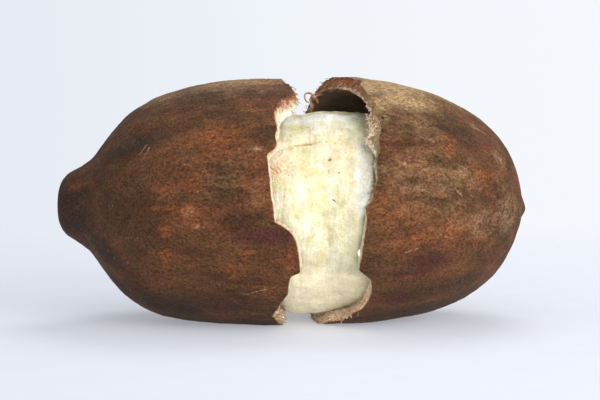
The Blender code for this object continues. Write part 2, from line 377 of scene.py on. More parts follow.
def smooth_outline(points, steps=12):
    """A smooth curve through the points, as rows of distance and radius."""
    points = np.array(points, float)
    padded = np.vstack([points[:1], points, points[-1:]])
    share = np.linspace(0, 1, steps, endpoint=False)[:, None]
    runs = [curve_between(*four, share) for four in zip(padded, padded[1:], padded[2:], padded[3:])]
    return np.maximum(np.vstack(runs + [points[-1:]]), 0.0)


def read_list(rows, at, column=1):
    rows = np.array(rows, float)
    return np.interp(at, rows[:, 0], rows[:, column])


def read_round(rows, angle, column=1):
    rows = np.array(rows, float)
    return np.interp(angle, rows[:, 0], rows[:, column], period=360)


def unevenness(places, size, seed):
    """Smooth random heights from about -1 to 1 that change over a length of size."""
    block = np.random.default_rng(seed).uniform(-1, 1, (NOISE_CELLS,) * 3)
    grid = np.asarray(places, float) / size
    cell = np.floor(grid).astype(int)
    inside = grid - cell
    inside = inside * inside * (3 - 2 * inside)
    height = 0.0
    for corner in np.ndindex(2, 2, 2):
        weight = np.prod(np.where(corner, inside, 1 - inside), axis=-1)
        height = height + weight * block[tuple(np.moveaxis((cell + corner) % NOISE_CELLS, -1, 0))]
    return height


def layered(places, layers, seed):
    """Unevenness of several kinds at once, each given as its height and its size."""
    return sum(height * unevenness(places, size, seed + i) for i, (height, size) in enumerate(layers))


print("smooth outline of the stem half:", len(smooth_outline(STEM_OUTSIDE)), "points")

# %% [markdown]
# ## A closed skin over rings
# A cup of husk is one closed skin: out along the velvety outside, over the torn edge and back along the
# hollow. It could be a turned profile with a solidify modifier, but then the torn edge couldn't lean
# and jag. So the rings are laid out as a grid of points, and one helper joins any such grid
# into a mesh, gives each ring its finish, and unrolls it flat as a UV map in steps of 10 cm.

# %% A closed skin over rings
ROUND_POINTS = 440
SKIN_STEP = 0.85
UNROLL_RADIUS = 55.0
UNROLL_UNIT = 100.0
ANGLES = np.linspace(-180, 180, ROUND_POINTS, endpoint=False)


def unrolled(x, angle):
    """Where a place on the fruit lies on the flat map: along the fruit, and round it."""
    return x / UNROLL_UNIT, np.radians(angle) * UNROLL_RADIUS / UNROLL_UNIT


def in_cad_box(points):
    return np.clip(points, np.array(cad_low), np.array(cad_high))


def ring_quads(rings, count):
    """The faces between neighbouring rings of points, as four point numbers each."""
    i, j = np.meshgrid(np.arange(rings - 1), np.arange(count), indexing="ij")
    k = (j + 1) % count
    corners = [i * count + j, (i + 1) * count + j, (i + 1) * count + k, i * count + k]
    return np.stack(corners, -1).reshape(-1, 4)


def end_fans(rings, count):
    """The triangles that close both ends, whose middle points are numbered after the rings."""
    j = np.arange(count)
    k = (j + 1) % count
    middle, last = np.full(count, rings * count), (rings - 1) * count
    return np.stack([middle, j, k], -1), np.stack([middle + 1, last + k, last + j], -1)


def closed_skin(name, grid, first, last, angles, finishes, ring_finish, marks):
    """Joins rings of points into a closed mesh. marks are numbers for each point, by name."""
    rings, count = grid.shape[:2]
    points = in_cad_box(np.vstack([grid.reshape(-1, 3), [first], [last]]) * MM)
    quads, (start_fan, end_fan) = ring_quads(rings, count), end_fans(rings, count)
    step = angles[1] - angles[0]
    quad_angles = np.tile(angles, rings)[quads]
    quad_angles[:, 2:] = quad_angles[:, :2][:, ::-1] + step
    fan_angles = np.stack([angles + step / 2, angles, angles + step], -1)
    corner_angles = (quad_angles, fan_angles, fan_angles[:, [0, 2, 1]])
    corner_angles = np.concatenate([angles_of_faces.ravel() for angles_of_faces in corner_angles])
    corners = np.concatenate([faces.ravel() for faces in (quads, start_fan, end_fan)])
    a, b, c = points[quads[:, 0]], points[quads[:, 1]], points[quads[:, 2]]
    inside_out = np.einsum("ij,ij->i", a, np.cross(b, c)).sum() < 0

    mesh = bpy.data.meshes.new(name)
    mesh.from_pydata(points.tolist(), [], quads.tolist() + start_fan.tolist() + end_fan.tolist())
    u, v = unrolled(points[corners, 0] / MM, corner_angles)
    flat_map = np.stack([u, v], -1).astype(np.float32)
    mesh.uv_layers.new(name="unrolled").data.foreach_set("uv", flat_map.ravel())
    for kind, values in marks.items():
        values = np.append(values.ravel(), [values[0].mean(), values[-1].mean()])
        mesh.attributes.new(kind, "FLOAT", "POINT").data.foreach_set("value", values.astype(np.float32))
    for finish in finishes:
        mesh.materials.append(finish)
    slots = np.repeat([*ring_finish[:rings - 1], ring_finish[0], ring_finish[-1]], count)
    mesh.polygons.foreach_set("material_index", slots.astype(np.int32))
    mesh.shade_smooth()
    if inside_out:
        mesh.flip_normals()
    print(name, len(mesh.vertices), "points,", 2 * len(quads) + 2 * count, "triangles")
    return add_object(name, mesh)


# %% [markdown]
# ## Patches on the skin
# The brown velvet of the husk is rubbed to rust where it has been handled, bleached tan in patches,
# and stained plum or nearly black in places. The tan patches along the tops also carry painted
# highlight, where light falls on the velvet, and the greyish ones at the two ends carry painted sheen.
# The broad dark patches over the stem end and along the underside are painted shade. The clearest
# patches are listed one by one, as place along the fruit, angle, half length, half width and strength.
# Seeded ones fill the sides that no one sees first. Each kind is stored on the points as a number, and
# the material breaks its edge up.

# %% Patches on the skin
STEM_RUST = (
    (-33, 34, 13, 9, 1.05), (-58.7, 12, 4.5, 7, 0.8), (-42.4, 14, 7, 8, 0.7), (-50.5, 0, 10, 6, 0.65),
    (-57, -9, 4, 4, 0.8), (-58, -21, 4, 4, 0.9), (-25.8, -28, 6, 5, 0.8), (-21.2, -20, 4, 4, 0.8),
    (-47, 1, 7, 3.5, 1.3), (-43.3, -6.4, 3, 2.5, 1.0), (-78, 20, 6, 5, 0.5), (-30, -62, 16, 8, 0.5),
    (-101, 32, 7, 9, 0.55), (-98, 8, 6, 8, 0.35), (-12, -40, 6, 10, 0.6), (-85, -20, 7, 5, 0.5),
    (-17, 12, 9, 16, 0.6), (-20, 48, 12, 10, 0.4),
    (-57, 2.4, 9, 3, 0.8), (-58, -24, 3, 6, 0.8), (-2, -23, 2.5, 6, 0.9), (-67.5, 48, 4, 4, 0.7),
)
# Tan bloom; those along the top are partly painted highlight, the greyish one by the end painted sheen.
STEM_BLOOM_AND_HIGHLIGHT = (
    (-30, 84, 34, 20, 0.75), (-62, 80, 16, 14, 0.6), (-16.5, 27.7, 4, 1.6, 0.65),
    (-46.5, 0.3, 4.8, 2.6, 0.45),
    (-43.3, -6.4, 2.4, 1.8, 0.45), (-14, -37, 7, 1.2, 0.5), (-20, 100, 30, 30, 0.6), (-16, 8, 8, 12, 0.3),
    (-32, 14, 15, 10, 0.32),
    (-15, 63, 4, 4, 0.5), (-75.5, 41.6, 6, 5, 0.35), (-81.5, 47, 5, 6, 0.35),
)
# Dark patches: the broad ones over the stem half's outer end and underside are painted shade, small ones
# stains.
STEM_DARK = (
    (-108, 0, 14, 60, 1.3), (-108, 180, 14, 60, 1.3), (-95, -30, 14, 14, 0.6), (-88, 45, 14, 10, 0.5),
    (-57, -56, 34, 14, 0.95), (-25, -76, 30, 14, 0.9), (-62, 28, 8, 5, 0.5), (-48, 66, 20, 6, 0.4),
    (-72, 40, 17, 11, 1.0), (-87, -32, 12, 14, 0.95), (-20, -52, 14, 8, 0.5), (-90, 62, 12, 10, 0.4),
    (-72, 0, 36, 60, 0.5), (-52, -46, 26, 12, 0.55),
)
STEM_PLUM = (
    (-69.4, 50, 5, 8, 0.5), (-12.5, -11.3, 17, 4.5, 0.95), (-8.7, -10.6, 1.8, 1.4, 1.2),
    (-35, -48, 20, 9, 0.6),
    (-75, -35, 12, 9, 0.5),
)
TIP_RUST = (
    (70.2, 32, 3.5, 8, 0.9), (88, 22.6, 5.5, 4, 1.0), (89.4, 11.5, 2.5, 4, 0.8), (70.5, -9.5, 5, 6, 1.0),
    (45, -1.4, 14, 9, 0.7), (39, 5, 6, 4, 0.9), (55, -34, 12, 1.5, 0.8), (61.5, -50, 9, 6, 0.5),
    (57, 10, 5, 2, 0.5), (65.8, 7.6, 5, 3, 0.5), (58.4, -13, 9, 5, 0.8), (53, -5, 8, 6, 0.5),
    (45, 30, 8, 10, 0.3),
)
# Tan bloom; those along the top are partly painted highlight, the grey one at the tip's end painted sheen.
TIP_BLOOM_AND_HIGHLIGHT = (
    (46, 78, 24, 22, 1.1), (55, 60, 14, 10, 0.9), (49, 60, 12, 9, 0.9), (48, 93, 26, 12, 1.1),
    (56, 42, 17, 13, 0.4), (32, 100, 22, 26, 0.9),
    (35, 72, 11, 14, 1.05), (39, 54, 9, 7, 0.9), (41, 44, 5, 5, 0.5), (70, 90, 22, 22, 0.7),
    (49.4, 21.7, 1.2, 1.2, 0.8), (100, -4, 11, 28, 0.45), (62, 15, 36, 26, 0.38), (87, -8, 15, 14, 0.42),
    (76, 20.5, 4.5, 5, 0.5), (85, 58, 6, 3, 0.7), (57, 10.5, 5, 2.5, 0.6), (96, 40, 5, 8, 0.5),
)
# Dark patches: the four broad ones on the underside are painted shade; the small spots by the rim are stains.
TIP_DARK = (
    (58, -66, 36, 14, 0.9), (80, -48, 14, 8, 0.6), (60, -46, 26, 9, 0.8), (61, -25, 14, 6, 0.6),
    (78, 48, 7, 5, 0.8), (73, 55, 5, 4, 0.7), (110, -14, 2.5, 4, 0.8), (40.3, 44.6, 1.6, 1.6, 1.7),
    (30.5, 78, 2.6, 6, 1.6), (39.6, 37.5, 1.2, 1.5, 1.4),
)
TIP_PLUM = (
    (55, -32, 17, 5, 0.85), (61, -26, 14, 6, 0.9), (50, 28, 10, 7, 0.3), (91, 48, 6, 9, 0.6),
    (84, 56, 8, 5, 0.6), (48, -48, 14, 8, 0.7), (85, -50, 14, 9, 0.4),
)


def patch_marks(patches, x, angle, seed, span, more):
    """The strength of the nearest patches at each point, with seeded patches round the far side."""
    chance = np.random.default_rng(seed)
    rows = list(patches)
    for _ in range(more):
        rows.append((chance.uniform(*span), chance.uniform(100, 255), chance.uniform(4, 14),
                     chance.uniform(3, 10), chance.uniform(0.4, 0.9)))
    strength = np.zeros_like(x)
    for at, turn, half_length, half_width, most in rows:
        away = np.radians((angle - turn + 180) % 360 - 180) * UNROLL_RADIUS
        patch = most * np.exp(-((x - at) / half_length) ** 2 - (away / half_width) ** 2)
        strength = np.maximum(strength, patch)
    return strength


print("hand-placed patches:", sum(map(len, (
    STEM_RUST, STEM_BLOOM_AND_HIGHLIGHT, STEM_DARK, STEM_PLUM, TIP_RUST, TIP_BLOOM_AND_HIGHLIGHT, TIP_DARK, TIP_PLUM))))

# %% [markdown]
# ## Grain, and lines drawn on the skin
# Two effects come back in several finishes. Grain is noise with a size in metres that can be drawn
# out along the fruit, as plant fibres are. A line is a thin stroke between two places on the unrolled
# map, for scratches, creases and specks: it stays sharp however coarse the mesh is.

# %% Grain and line groups


def grain_group():
    group, given, out = new_group("grain", [
        ("Vector", "Vector", None), ("Size", "Float", 0.005), ("Stretch", "Vector", (1.0, 1.0, 1.0)),
        ("Detail", "Float", 4.0), ("Roughness", "Float", 0.6),
    ], [("Value", "Float")])
    drawn = place(group, "ShaderNodeVectorMath", {
        0: given["Vector"], 1: given["Stretch"],
    }, operation="DIVIDE")
    sized = place(group, "ShaderNodeVectorMath", {
        0: drawn.outputs[0], "Scale": work_out(group, "DIVIDE", 1.0, given["Size"]),
    }, operation="SCALE")
    noise = place(group, "ShaderNodeTexNoise", {
        "Vector": sized.outputs[0], "Scale": 1.0, "Detail": given["Detail"], "Roughness": given["Roughness"],
    })
    group.links.new(noise.outputs["Fac"], out["Value"])
    return group


def line_group():
    group, given, out = new_group("drawn_line", [
        ("Map", "Vector", None), ("From", "Vector", (0, 0, 0)), ("To", "Vector", (0, 0, 0)),
        ("Width", "Float", 0.005),
    ], [("Mask", "Float")])

    def vector(operation, first, second=None, output=0):
        inputs = {0: first} if second is None else {0: first, 1: second}
        return place(group, "ShaderNodeVectorMath", inputs, operation=operation).outputs[output]

    way = vector("SUBTRACT", given["To"], given["From"])
    start = vector("SUBTRACT", given["Map"], given["From"])
    along = work_out(group, "DIVIDE", vector("DOT_PRODUCT", start, way, "Value"),
                     work_out(group, "MAXIMUM", vector("DOT_PRODUCT", way, way, "Value"), 1e-9))
    along = place(group, "ShaderNodeClamp", {"Value": along}).outputs[0]
    nearest = place(group, "ShaderNodeVectorMath", {0: way, "Scale": along}, operation="SCALE").outputs[0]
    away = vector("LENGTH", vector("SUBTRACT", start, nearest), output="Value")
    group.links.new(between(group, away, given["Width"], 0.0), out["Mask"])
    return group


GRAIN = grain_group()
LINE = line_group()


def grain(tree, coordinates, size, stretch=(1.0, 1.0, 1.0), detail=4.0, roughness=0.6):
    return use_group(tree, GRAIN, {
        "Vector": coordinates, "Size": size, "Stretch": stretch, "Detail": detail, "Roughness": roughness,
    })


def drawn_lines(tree, flat_map, lines):
    """One mask for many strokes, each given as x, angle, x, angle and width in millimetres."""
    mask = 0.0
    for x0, turn0, x1, turn1, width in lines:
        stroke = use_group(tree, LINE, {
            "Map": flat_map, "From": (*unrolled(x0, turn0), 0.0), "To": (*unrolled(x1, turn1), 0.0),
            "Width": width / UNROLL_UNIT,
        })
        mask = work_out(tree, "MAXIMUM", mask, stroke)
    return mask


print("groups:", [group.name for group in bpy.data.node_groups])

# %% [markdown]
# ## The skin
# Cupuacu skin is a dark brown fur of short hairs that rubs off to rust and tan. The colour is built in
# layers, from large cloudy patches down to pinpoint specks, and each layer is broken up by the grain
# of the layer below. Slow tints of red and olive keep the brown from looking like paint. A little
# sheen gives the velvet its pale edge.

# %% Skin finish
SCRATCHES = (
    (-66.4, 37.0, -69.6, 32.0, 0.6), (-65.1, 34.4, -67.6, 29.0, 0.55), (-18.9, -40.3, -11.6, -38.2, 0.5),
    (-24, -41.5, -15, -41.0, 0.35), (75.5, 24.1, 78.9, 22.6, 0.6), (72.9, 11.7, 76.2, 7.6, 0.6),
    (66, -12, 72, -15, 0.35), (56, 44, 60, 47, 0.4), (50, -20, 57, -18, 0.35),
)
SPECKS_PER_METRE = 330.0
SPECKS_LEFT_OUT = 0.8


def skin_finish():
    material, tree, shader = new_finish("velvet_skin")
    here = on_piece(tree)
    clouds = grain(tree, here, 0.024, (1.6, 1.0, 1.0), 3.0)
    smears = grain(tree, here, 0.0065, (2.6, 1.0, 1.0), 6.0, 0.7)
    fur = grain(tree, here, 0.0016, (2.0, 1.0, 1.0), 4.0, 0.75)
    hairs = grain(tree, here, 0.0009, (1.3, 1.0, 1.0), 1.0, 0.6)

    def ragged_mask(name, spread, start, end):
        ragged = work_out(tree, "MULTIPLY_ADD", smears, spread, mark(tree, name))
        ragged = work_out(tree, "MULTIPLY_ADD", fur, spread * 0.5, ragged)
        return between(tree, ragged, start + spread * 0.75, end + spread * 0.75)

    colour = colour_steps(tree, both(tree, clouds, 0.45, smears, 0.55), (
        (0.34, paint(58, 38, 24)), (0.47, paint(79, 52, 32)), (0.56, paint(95, 61, 38)),
        (0.68, paint(111, 74, 46)),
    ))
    for size, share in ((0.017, 0.85), (0.0048, 0.45)):
        tint = colour_steps(tree, grain(tree, here, size, (1.5, 1.0, 1.0), 1.5, 0.5), (
            (0.36, (0.935, 1.0, 0.92, 1)), (0.5, (1.0, 1.0, 1.0, 1)), (0.64, (1.10, 0.95, 0.98, 1))))
        colour = blend_colours(tree, share, colour, tint, "MULTIPLY")

    rust = colour_steps(tree, fur, ((0.35, paint(92, 49, 28)), (0.65, paint(136, 77, 42))))
    tan = colour_steps(tree, fur, ((0.3, paint(138, 110, 74)), (0.7, paint(180, 150, 108))))
    cells = place(tree, "ShaderNodeTexVoronoi", {
        "Vector": here, "Scale": SPECKS_PER_METRE, "Randomness": 1.0})
    chance = place(tree, "ShaderNodeSeparateColor", {"Color": cells.outputs["Color"]}).outputs[0]
    specks = times(tree, work_out(tree, "GREATER_THAN", chance, SPECKS_LEFT_OUT),
                   between(tree, cells.outputs["Distance"], 0.24, 0.08))
    specks = times(tree, specks, between(tree, smears, 0.4, 0.65, 0.05, 0.5))
    scratched = times(tree, drawn_lines(tree, on_map(tree), SCRATCHES), between(tree, hairs, 0.3, 0.6))
    edge = between(tree, work_out(tree, "MULTIPLY_ADD", fur, 0.8, mark(tree, "near_edge")), 1.0, 1.7)
    colour = coats(tree, colour, (
        # Dark coats: painted shade where the dark patches are broad, real stains where they are small.
        (ragged_mask("dark", 0.6, 0.1, 1.0), paint(55, 40, 29)),
        (ragged_mask("plum", 0.9, 0.2, 1.0), paint(68, 37, 33)),
        (times(tree, ragged_mask("rust", 1.7, 0.0, 1.3), 0.8), rust),
        # Tan bloom, with painted highlight along the tops and painted sheen at the ends.
        (ragged_mask("bloom_and_highlight", 0.7, 0.15, 1.15), tan),
        (ragged_mask("dark", 0.6, 1.0, 1.5), paint(62, 36, 25)),
        (specks, paint(160, 122, 86)),
        (times(tree, scratched, 0.45), paint(172, 140, 108)),
        (times(tree, edge, 0.6), paint(156, 112, 76)),
    ))
    shade = between(tree, both(tree, fur, 0.33, hairs, 0.67), 0.3, 0.7, 0.54, 1.46)
    height = work_out(tree, "MULTIPLY_ADD", smears, 1.4, work_out(tree, "MULTIPLY_ADD", fur, 0.7, hairs))
    fill(tree, shader, {
        "Base Color": shaded(tree, colour, shade), "Roughness": between(tree, smears, 0.2, 0.8, 0.9, 0.62),
        "Normal": bumps(tree, height, 0.0007, 0.8), "Specular IOR Level": 0.12,
        "Sheen Weight": 0.05, "Sheen Roughness": 0.45, "Sheen Tint": paint(215, 205, 200),
    })
    return material


VELVET_SKIN = skin_finish()
print("finish:", VELVET_SKIN.name, len(VELVET_SKIN.node_tree.nodes), "nodes")

# %% [markdown]
# ## The torn wall and the lining
# Broken across, the woody wall shows three layers: a dark thin bark, an orange and tan band of short
# fibres, and a pale pinkish layer against the pulp. A number on the points says how deep in the wall
# each one lies. The lining inside is brown, painted darker than it is as painted shade for the dim
# hollow, and paler for the first millimetres of its mouth.

# %% Torn wall and lining finishes


def torn_finish():
    material, tree, shader = new_finish("torn_husk")
    here = on_piece(tree)
    tufts = grain(tree, here, 0.0022, (1.0, 1.0, 1.0), 4.0, 0.7)
    threads = grain(tree, here, 0.0007, (3.0, 1.0, 1.0), 3.0, 0.8)
    depth = pushed(tree, mark(tree, "wall_depth"), tufts, 0.9)
    woody = colour_steps(tree, depth, (
        (0.0, paint(82, 46, 32)), (0.16, paint(140, 74, 38)), (0.42, paint(182, 112, 60)),
        (0.72, paint(184, 138, 92)), (0.95, paint(226, 200, 162)),
    ))
    peeled = colour_steps(tree, depth, (
        (0.0, paint(160, 108, 66)), (0.14, paint(224, 182, 130)), (0.38, paint(244, 226, 190)),
        (0.8, paint(248, 242, 220)),
    ))
    felt = colour_steps(tree, tufts, (
        (0.3, paint(122, 96, 60)), (0.5, paint(168, 140, 92)), (0.7, paint(198, 170, 122))))
    raw = pushed(tree, pushed(tree, mark(tree, "pale"), depth, 0.7), tufts, 0.7)
    colour = coats(tree, woody, (
        (between(tree, raw, 0.2, 0.8), peeled),
        (times(tree, mark(tree, "worn_in"), between(tree, depth, 0.8, 0.5)), felt),
    ))
    fill(tree, shader, {
        "Base Color": shaded(tree, colour, between(tree, threads, 0.25, 0.75, 0.6, 1.25)),
        "Roughness": between(tree, tufts, 0.3, 0.7, 0.55, 0.9),
        "Normal": bumps(tree, work_out(tree, "MULTIPLY_ADD", tufts, 1.5, threads), 0.0009, 1.0),
    })
    return material


def lining_finish():
    material, tree, shader = new_finish("dark_lining")
    here, near_edge = on_piece(tree), mark(tree, "near_edge")
    blotches = grain(tree, here, 0.011, (1.5, 1.0, 1.0), 4.0)
    veins = grain(tree, here, 0.002, (3.0, 1.0, 1.0), 4.0, 0.7)
    # Painted darker than the real brown lining, as painted shade for the dim hollow.
    colour = colour_steps(tree, both(tree, veins, 0.5, blotches, 0.5), (
        (0.35, paint(90, 78, 74)), (0.5, paint(124, 102, 92)), (0.66, paint(152, 124, 106)),
    ))
    brown = colour_steps(tree, veins, ((0.35, paint(104, 76, 50)), (0.65, paint(152, 118, 82))))
    rim = colour_steps(tree, veins, ((0.35, paint(124, 98, 64)), (0.65, paint(188, 166, 122))))
    fill(tree, shader, {
        "Base Color": coats(tree, colour, (
            (between(tree, near_edge, 0.0, 0.25), brown),
            (between(tree, pushed(tree, near_edge, veins, 0.6), 0.35, 1.0), rim),
        )),
        "Roughness": between(tree, blotches, 0.3, 0.7, 0.5, 0.75),
        "Normal": bumps(tree, veins, 0.0006, 0.7),
    })
    return material


TORN_HUSK = torn_finish()
DARK_LINING = lining_finish()
print("finishes:", TORN_HUSK.name, DARK_LINING.name)

# %% [markdown]
# ## The two cups of husk
# Level rings cover the closed end of each cup. Towards the crack they lean, ring by ring, until the
# last one follows the broken edge. Nine short rings cross the torn wall, pushed in and out by fine
# noise so the break looks snapped rather than sawn, and the hollow comes back on the inside.

# %% How frayed and how pale each broken edge is
STEM_FRAY = ((-180, 0.35), (-90, 0.3), (-76, 0.7), (-66, 0.9), (-58, 0.3), (-45, 0.06), (-14, 0.06),
             (-11, 0.7),
             (-5, 0.6), (-2, 0.06), (26, 0.08), (44, 0.3), (52, 0.8), (66, 0.9), (76, 0.5), (95, 0.3),
             (180, 0.35))
TIP_FRAY = ((-180, 0.35), (-95, 0.5), (-82, 0.9), (-60, 1.0), (-50, 0.5), (-38, 0.2), (-30, 0.06), (2, 0.1),
            (5, 0.7), (13, 0.6), (18, 0.1), (28, 0.3), (34, 1.0), (48, 1.0), (56, 0.4), (68, 0.5),
            (76, 1.0),
            (96, 1.0), (112, 0.5), (180, 0.35))
STEM_PALE = ((-180, 0.3), (-85, 0.8), (-55, 0.9), (-20, 0.9), (35, 1.0), (46, 0.85), (52, 0.6),
             (58, 0.45), (62, 0.15),
             (110, 0.2), (180, 0.3))
TIP_PALE = ((-180, 0.3), (-100, 0.6), (-85, 1.0), (-50, 1.0), (-30, 0.9), (-6, 0.85), (4, 0.6), (25, 0.5),
            (31, 0.45), (40, 0.3),
            (50, 0.1), (72, 0.1), (100, 0.05), (130, 0.3), (180, 0.3))
STEM_WORN_IN = ((-180, 0), (180, 0))
TIP_WORN_IN = ((-180, 0), (18, 0), (22, 1.5), (31, 1.5), (35, 0.9), (62, 1), (70, 0.5), (78, 0), (180, 0))
STEM_THREAD_TONE = ((-180, 0.3), (-75, 0.3), (-62, 0.75), (-30, 0.4), (0, 0.3), (20, 0.9), (46, 0.9),
                    (53, 0.8),
                    (62, 0.15), (100, 0.2), (180, 0.3))
TIP_THREAD_TONE = ((-180, 0.3), (-95, 0.6), (-60, 0.8), (-20, 0.6), (3, 0.2), (14, 0.15), (22, 0.5),
                   (30, 1.0),
                   (46, 1.0), (54, 0.6), (66, 0.25), (100, 0.2), (180, 0.3))
print("fray and paleness given at", len(STEM_FRAY) + len(TIP_FRAY) + len(STEM_PALE) + len(TIP_PALE), "angles")

# %% Husk halves
LEANING_RINGS = 44
WALL_RINGS = 9
LINING_STEP = 3.8
LINING_LEANING_RINGS = 14
EDGE_REACH = 1.2
BODY_POINTS = 80  # the last points of an outline, past its rounded end
END_FADE = 12  # the skin gets smooth this near to the axis, in millimetres
JAG_RADIUS = 55
JAG_LAYERS = ((0.5, 4.2), (0.4, 1.9), (0.25, 0.9))  # heights and sizes in millimetres
SKIN_LAYERS = ((0.45, 13), (0.28, 5.5), (0.16, 2.3))
FINE_SKIN_LAYERS = ((0.1, 1.1),)
TEAR_LAYERS = ((1.1, 2.4), (0.7, 1.1))
SKIN_JAGS = (0.35, 0.75)  # share of the jags where the edge broke clean, and what full fray adds
LINING_JAGS = (0.1, 0.5)
WALL_TEARS = (0.15, 0.75)


def walk(curve, end, step):
    """Places along an outline out to a distance from its end, at equal steps along the curve."""
    kept = np.vstack([curve[curve[:, 0] <= end], [[end, np.interp(end, *curve[-BODY_POINTS:].T)]]])
    run = np.concatenate([[0], np.cumsum(np.hypot(*np.diff(kept, axis=0).T))])
    at = np.linspace(0, run[-1], max(2, round(run[-1] / step)) + 1)[1:]
    return np.stack([np.interp(at, run, kept[:, 0]), np.interp(at, run, kept[:, 1])], -1)


def round_the_axis(end_x, axis, x, radius, angles):
    distance = np.abs(x - end_x)
    turn = np.radians(angles)
    side = read_list(axis, distance, 1) - radius * np.cos(turn)
    height = read_list(axis, distance, 2) + radius * np.sin(turn)
    return np.stack([x + 0 * side, side, height], -1)


def ragged(angles, seed):
    """Small jags of the broken edge, in millimetres."""
    turn = np.radians(angles)
    ring = np.stack([JAG_RADIUS * np.cos(turn), JAG_RADIUS * np.sin(turn), 0 * turn], -1)
    return layered(ring, JAG_LAYERS, seed)


def husk_half(name, end_x, outside, hollow, axis, crack, ledge, collar, seed, marks):
    inward = 1 if end_x < 0 else -1
    skin, lining = smooth_outline(outside), smooth_outline(hollow)
    fray = read_round(marks["fray"], ANGLES)

    def frayed(where_clean, more):
        return where_clean + more * fray

    def rings(curve, edge, step, leaning):
        level = walk(curve, abs(collar - end_x), step)
        flat = [(end_x + inward * d + 0 * ANGLES, r + 0 * ANGLES) for d, r in level]
        for share in np.arange(1, leaning + 1) / leaning:
            x = collar + (edge - collar) * share
            flat.append((x, np.interp(np.abs(x - end_x), *curve[-BODY_POINTS:].T)))
        return flat

    skin_edge = read_round(crack, ANGLES) + frayed(*SKIN_JAGS) * ragged(ANGLES, seed)
    lining_edge = skin_edge + inward * read_round(ledge, ANGLES)
    lining_edge = lining_edge + frayed(*LINING_JAGS) * ragged(ANGLES, seed + 5)
    outer = rings(skin, skin_edge, SKIN_STEP, LEANING_RINGS)
    inner = rings(lining, lining_edge, LINING_STEP, LINING_LEANING_RINGS)[::-1]
    depths = np.arange(1, WALL_RINGS + 1) / (WALL_RINGS + 1)
    outer_radius, inner_radius = outer[-1][1], inner[0][1]
    wall = [(skin_edge + (lining_edge - skin_edge) * share,
             outer_radius + (inner_radius - outer_radius) * share) for share in depths]
    on_wall = slice(len(outer), len(outer) + len(wall))
    x, radius = (np.array(rows) for rows in zip(*(outer + wall + inner)))
    grid = round_the_axis(end_x, axis, x, radius, ANGLES)

    turn = np.radians(ANGLES) + 0 * x
    outward = np.stack([0 * turn, -np.cos(turn), np.sin(turn)], -1)
    lumps = layered(grid * (0.45, 1.0, 1.0), SKIN_LAYERS, seed + 10)
    lumps = lumps + layered(grid, FINE_SKIN_LAYERS, seed + 13)
    on_skin = np.arange(len(grid))[:, None] < len(outer)
    grid += outward * (lumps * on_skin * np.minimum(radius / END_FADE, 1))[..., None]
    across = np.zeros(len(grid))
    across[on_wall] = np.sin(np.pi * depths)
    tears = layered(grid * (0.2, 1, 1), TEAR_LAYERS, seed + 20)
    grid[..., 0] += tears * across[:, None] * frayed(*WALL_TEARS)
    grid[..., 2] = np.maximum(grid[..., 2], 0.0)

    wall_depth = np.zeros(len(grid))
    wall_depth[on_wall] = depths
    wall_depth[on_wall.stop:] = 1
    from_edge = np.abs(x - np.where(on_skin, skin_edge, lining_edge))
    skin_marks = {kind: patch_marks(rows, grid[..., 0], ANGLES + 0 * x, seed + i, marks["span"], more)
                  for i, (kind, (rows, more)) in enumerate(marks["kinds"].items())}
    skin_marks["wall_depth"] = wall_depth[:, None] + 0 * x
    skin_marks["near_edge"] = np.exp(-from_edge / EDGE_REACH)
    for kind in ("pale", "worn_in"):
        skin_marks[kind] = read_round(marks[kind], ANGLES) + 0 * x
    finish_of_ring = [0] * (len(outer) - 1) + [1] * (len(wall) + 1) + [2] * len(inner)
    first, last = (round_the_axis(end_x, axis, end_x + inward * curve[0, 0], 0.0, 0.0)
                   for curve in (skin, lining))
    piece = closed_skin(name, grid, first, last, ANGLES, (VELVET_SKIN, TORN_HUSK, DARK_LINING),
                        finish_of_ring, skin_marks)
    return piece, grid[len(outer) - 1:len(outer) + len(wall) + 1]


stem_half_husk, stem_wall = husk_half(
    "stem_half_husk", -HALF_LENGTH, STEM_OUTSIDE, STEM_HOLLOW, STEM_AXIS, STEM_CRACK, STEM_LEDGE,
    STEM_COLLAR, 100, {"span": (-100, -10), "fray": STEM_FRAY, "pale": STEM_PALE, "worn_in": STEM_WORN_IN,
                       "kinds": {
        "rust": (STEM_RUST, 14), "bloom_and_highlight": (STEM_BLOOM_AND_HIGHLIGHT, 5), "plum": (STEM_PLUM, 8), "dark": (STEM_DARK, 8)}})
tip_half_husk, tip_wall = husk_half(
    "tip_half_husk", HALF_LENGTH, TIP_OUTSIDE, TIP_HOLLOW, TIP_AXIS, TIP_CRACK, TIP_LEDGE,
    TIP_COLLAR, 200, {"span": (5, 105), "fray": TIP_FRAY, "pale": TIP_PALE, "worn_in": TIP_WORN_IN,
                      "kinds": {
        "rust": (TIP_RUST, 14), "bloom_and_highlight": (TIP_BLOOM_AND_HIGHLIGHT, 6), "plum": (TIP_PLUM, 8), "dark": (TIP_DARK, 8)}})

# %% [markdown]
# ## The pulp
# The pulp fills the hollow and has settled a few millimetres, so its section is a flattened circle. It
# is soft: it swells out of the crack and over the lip at the bottom, and sags into the gap. It has
# shallow furrows where parcels of seed meet, fine wrinkles that run round it, a crease across the front
# and a groove down the middle. All of them are hills and dips in one smooth skin.

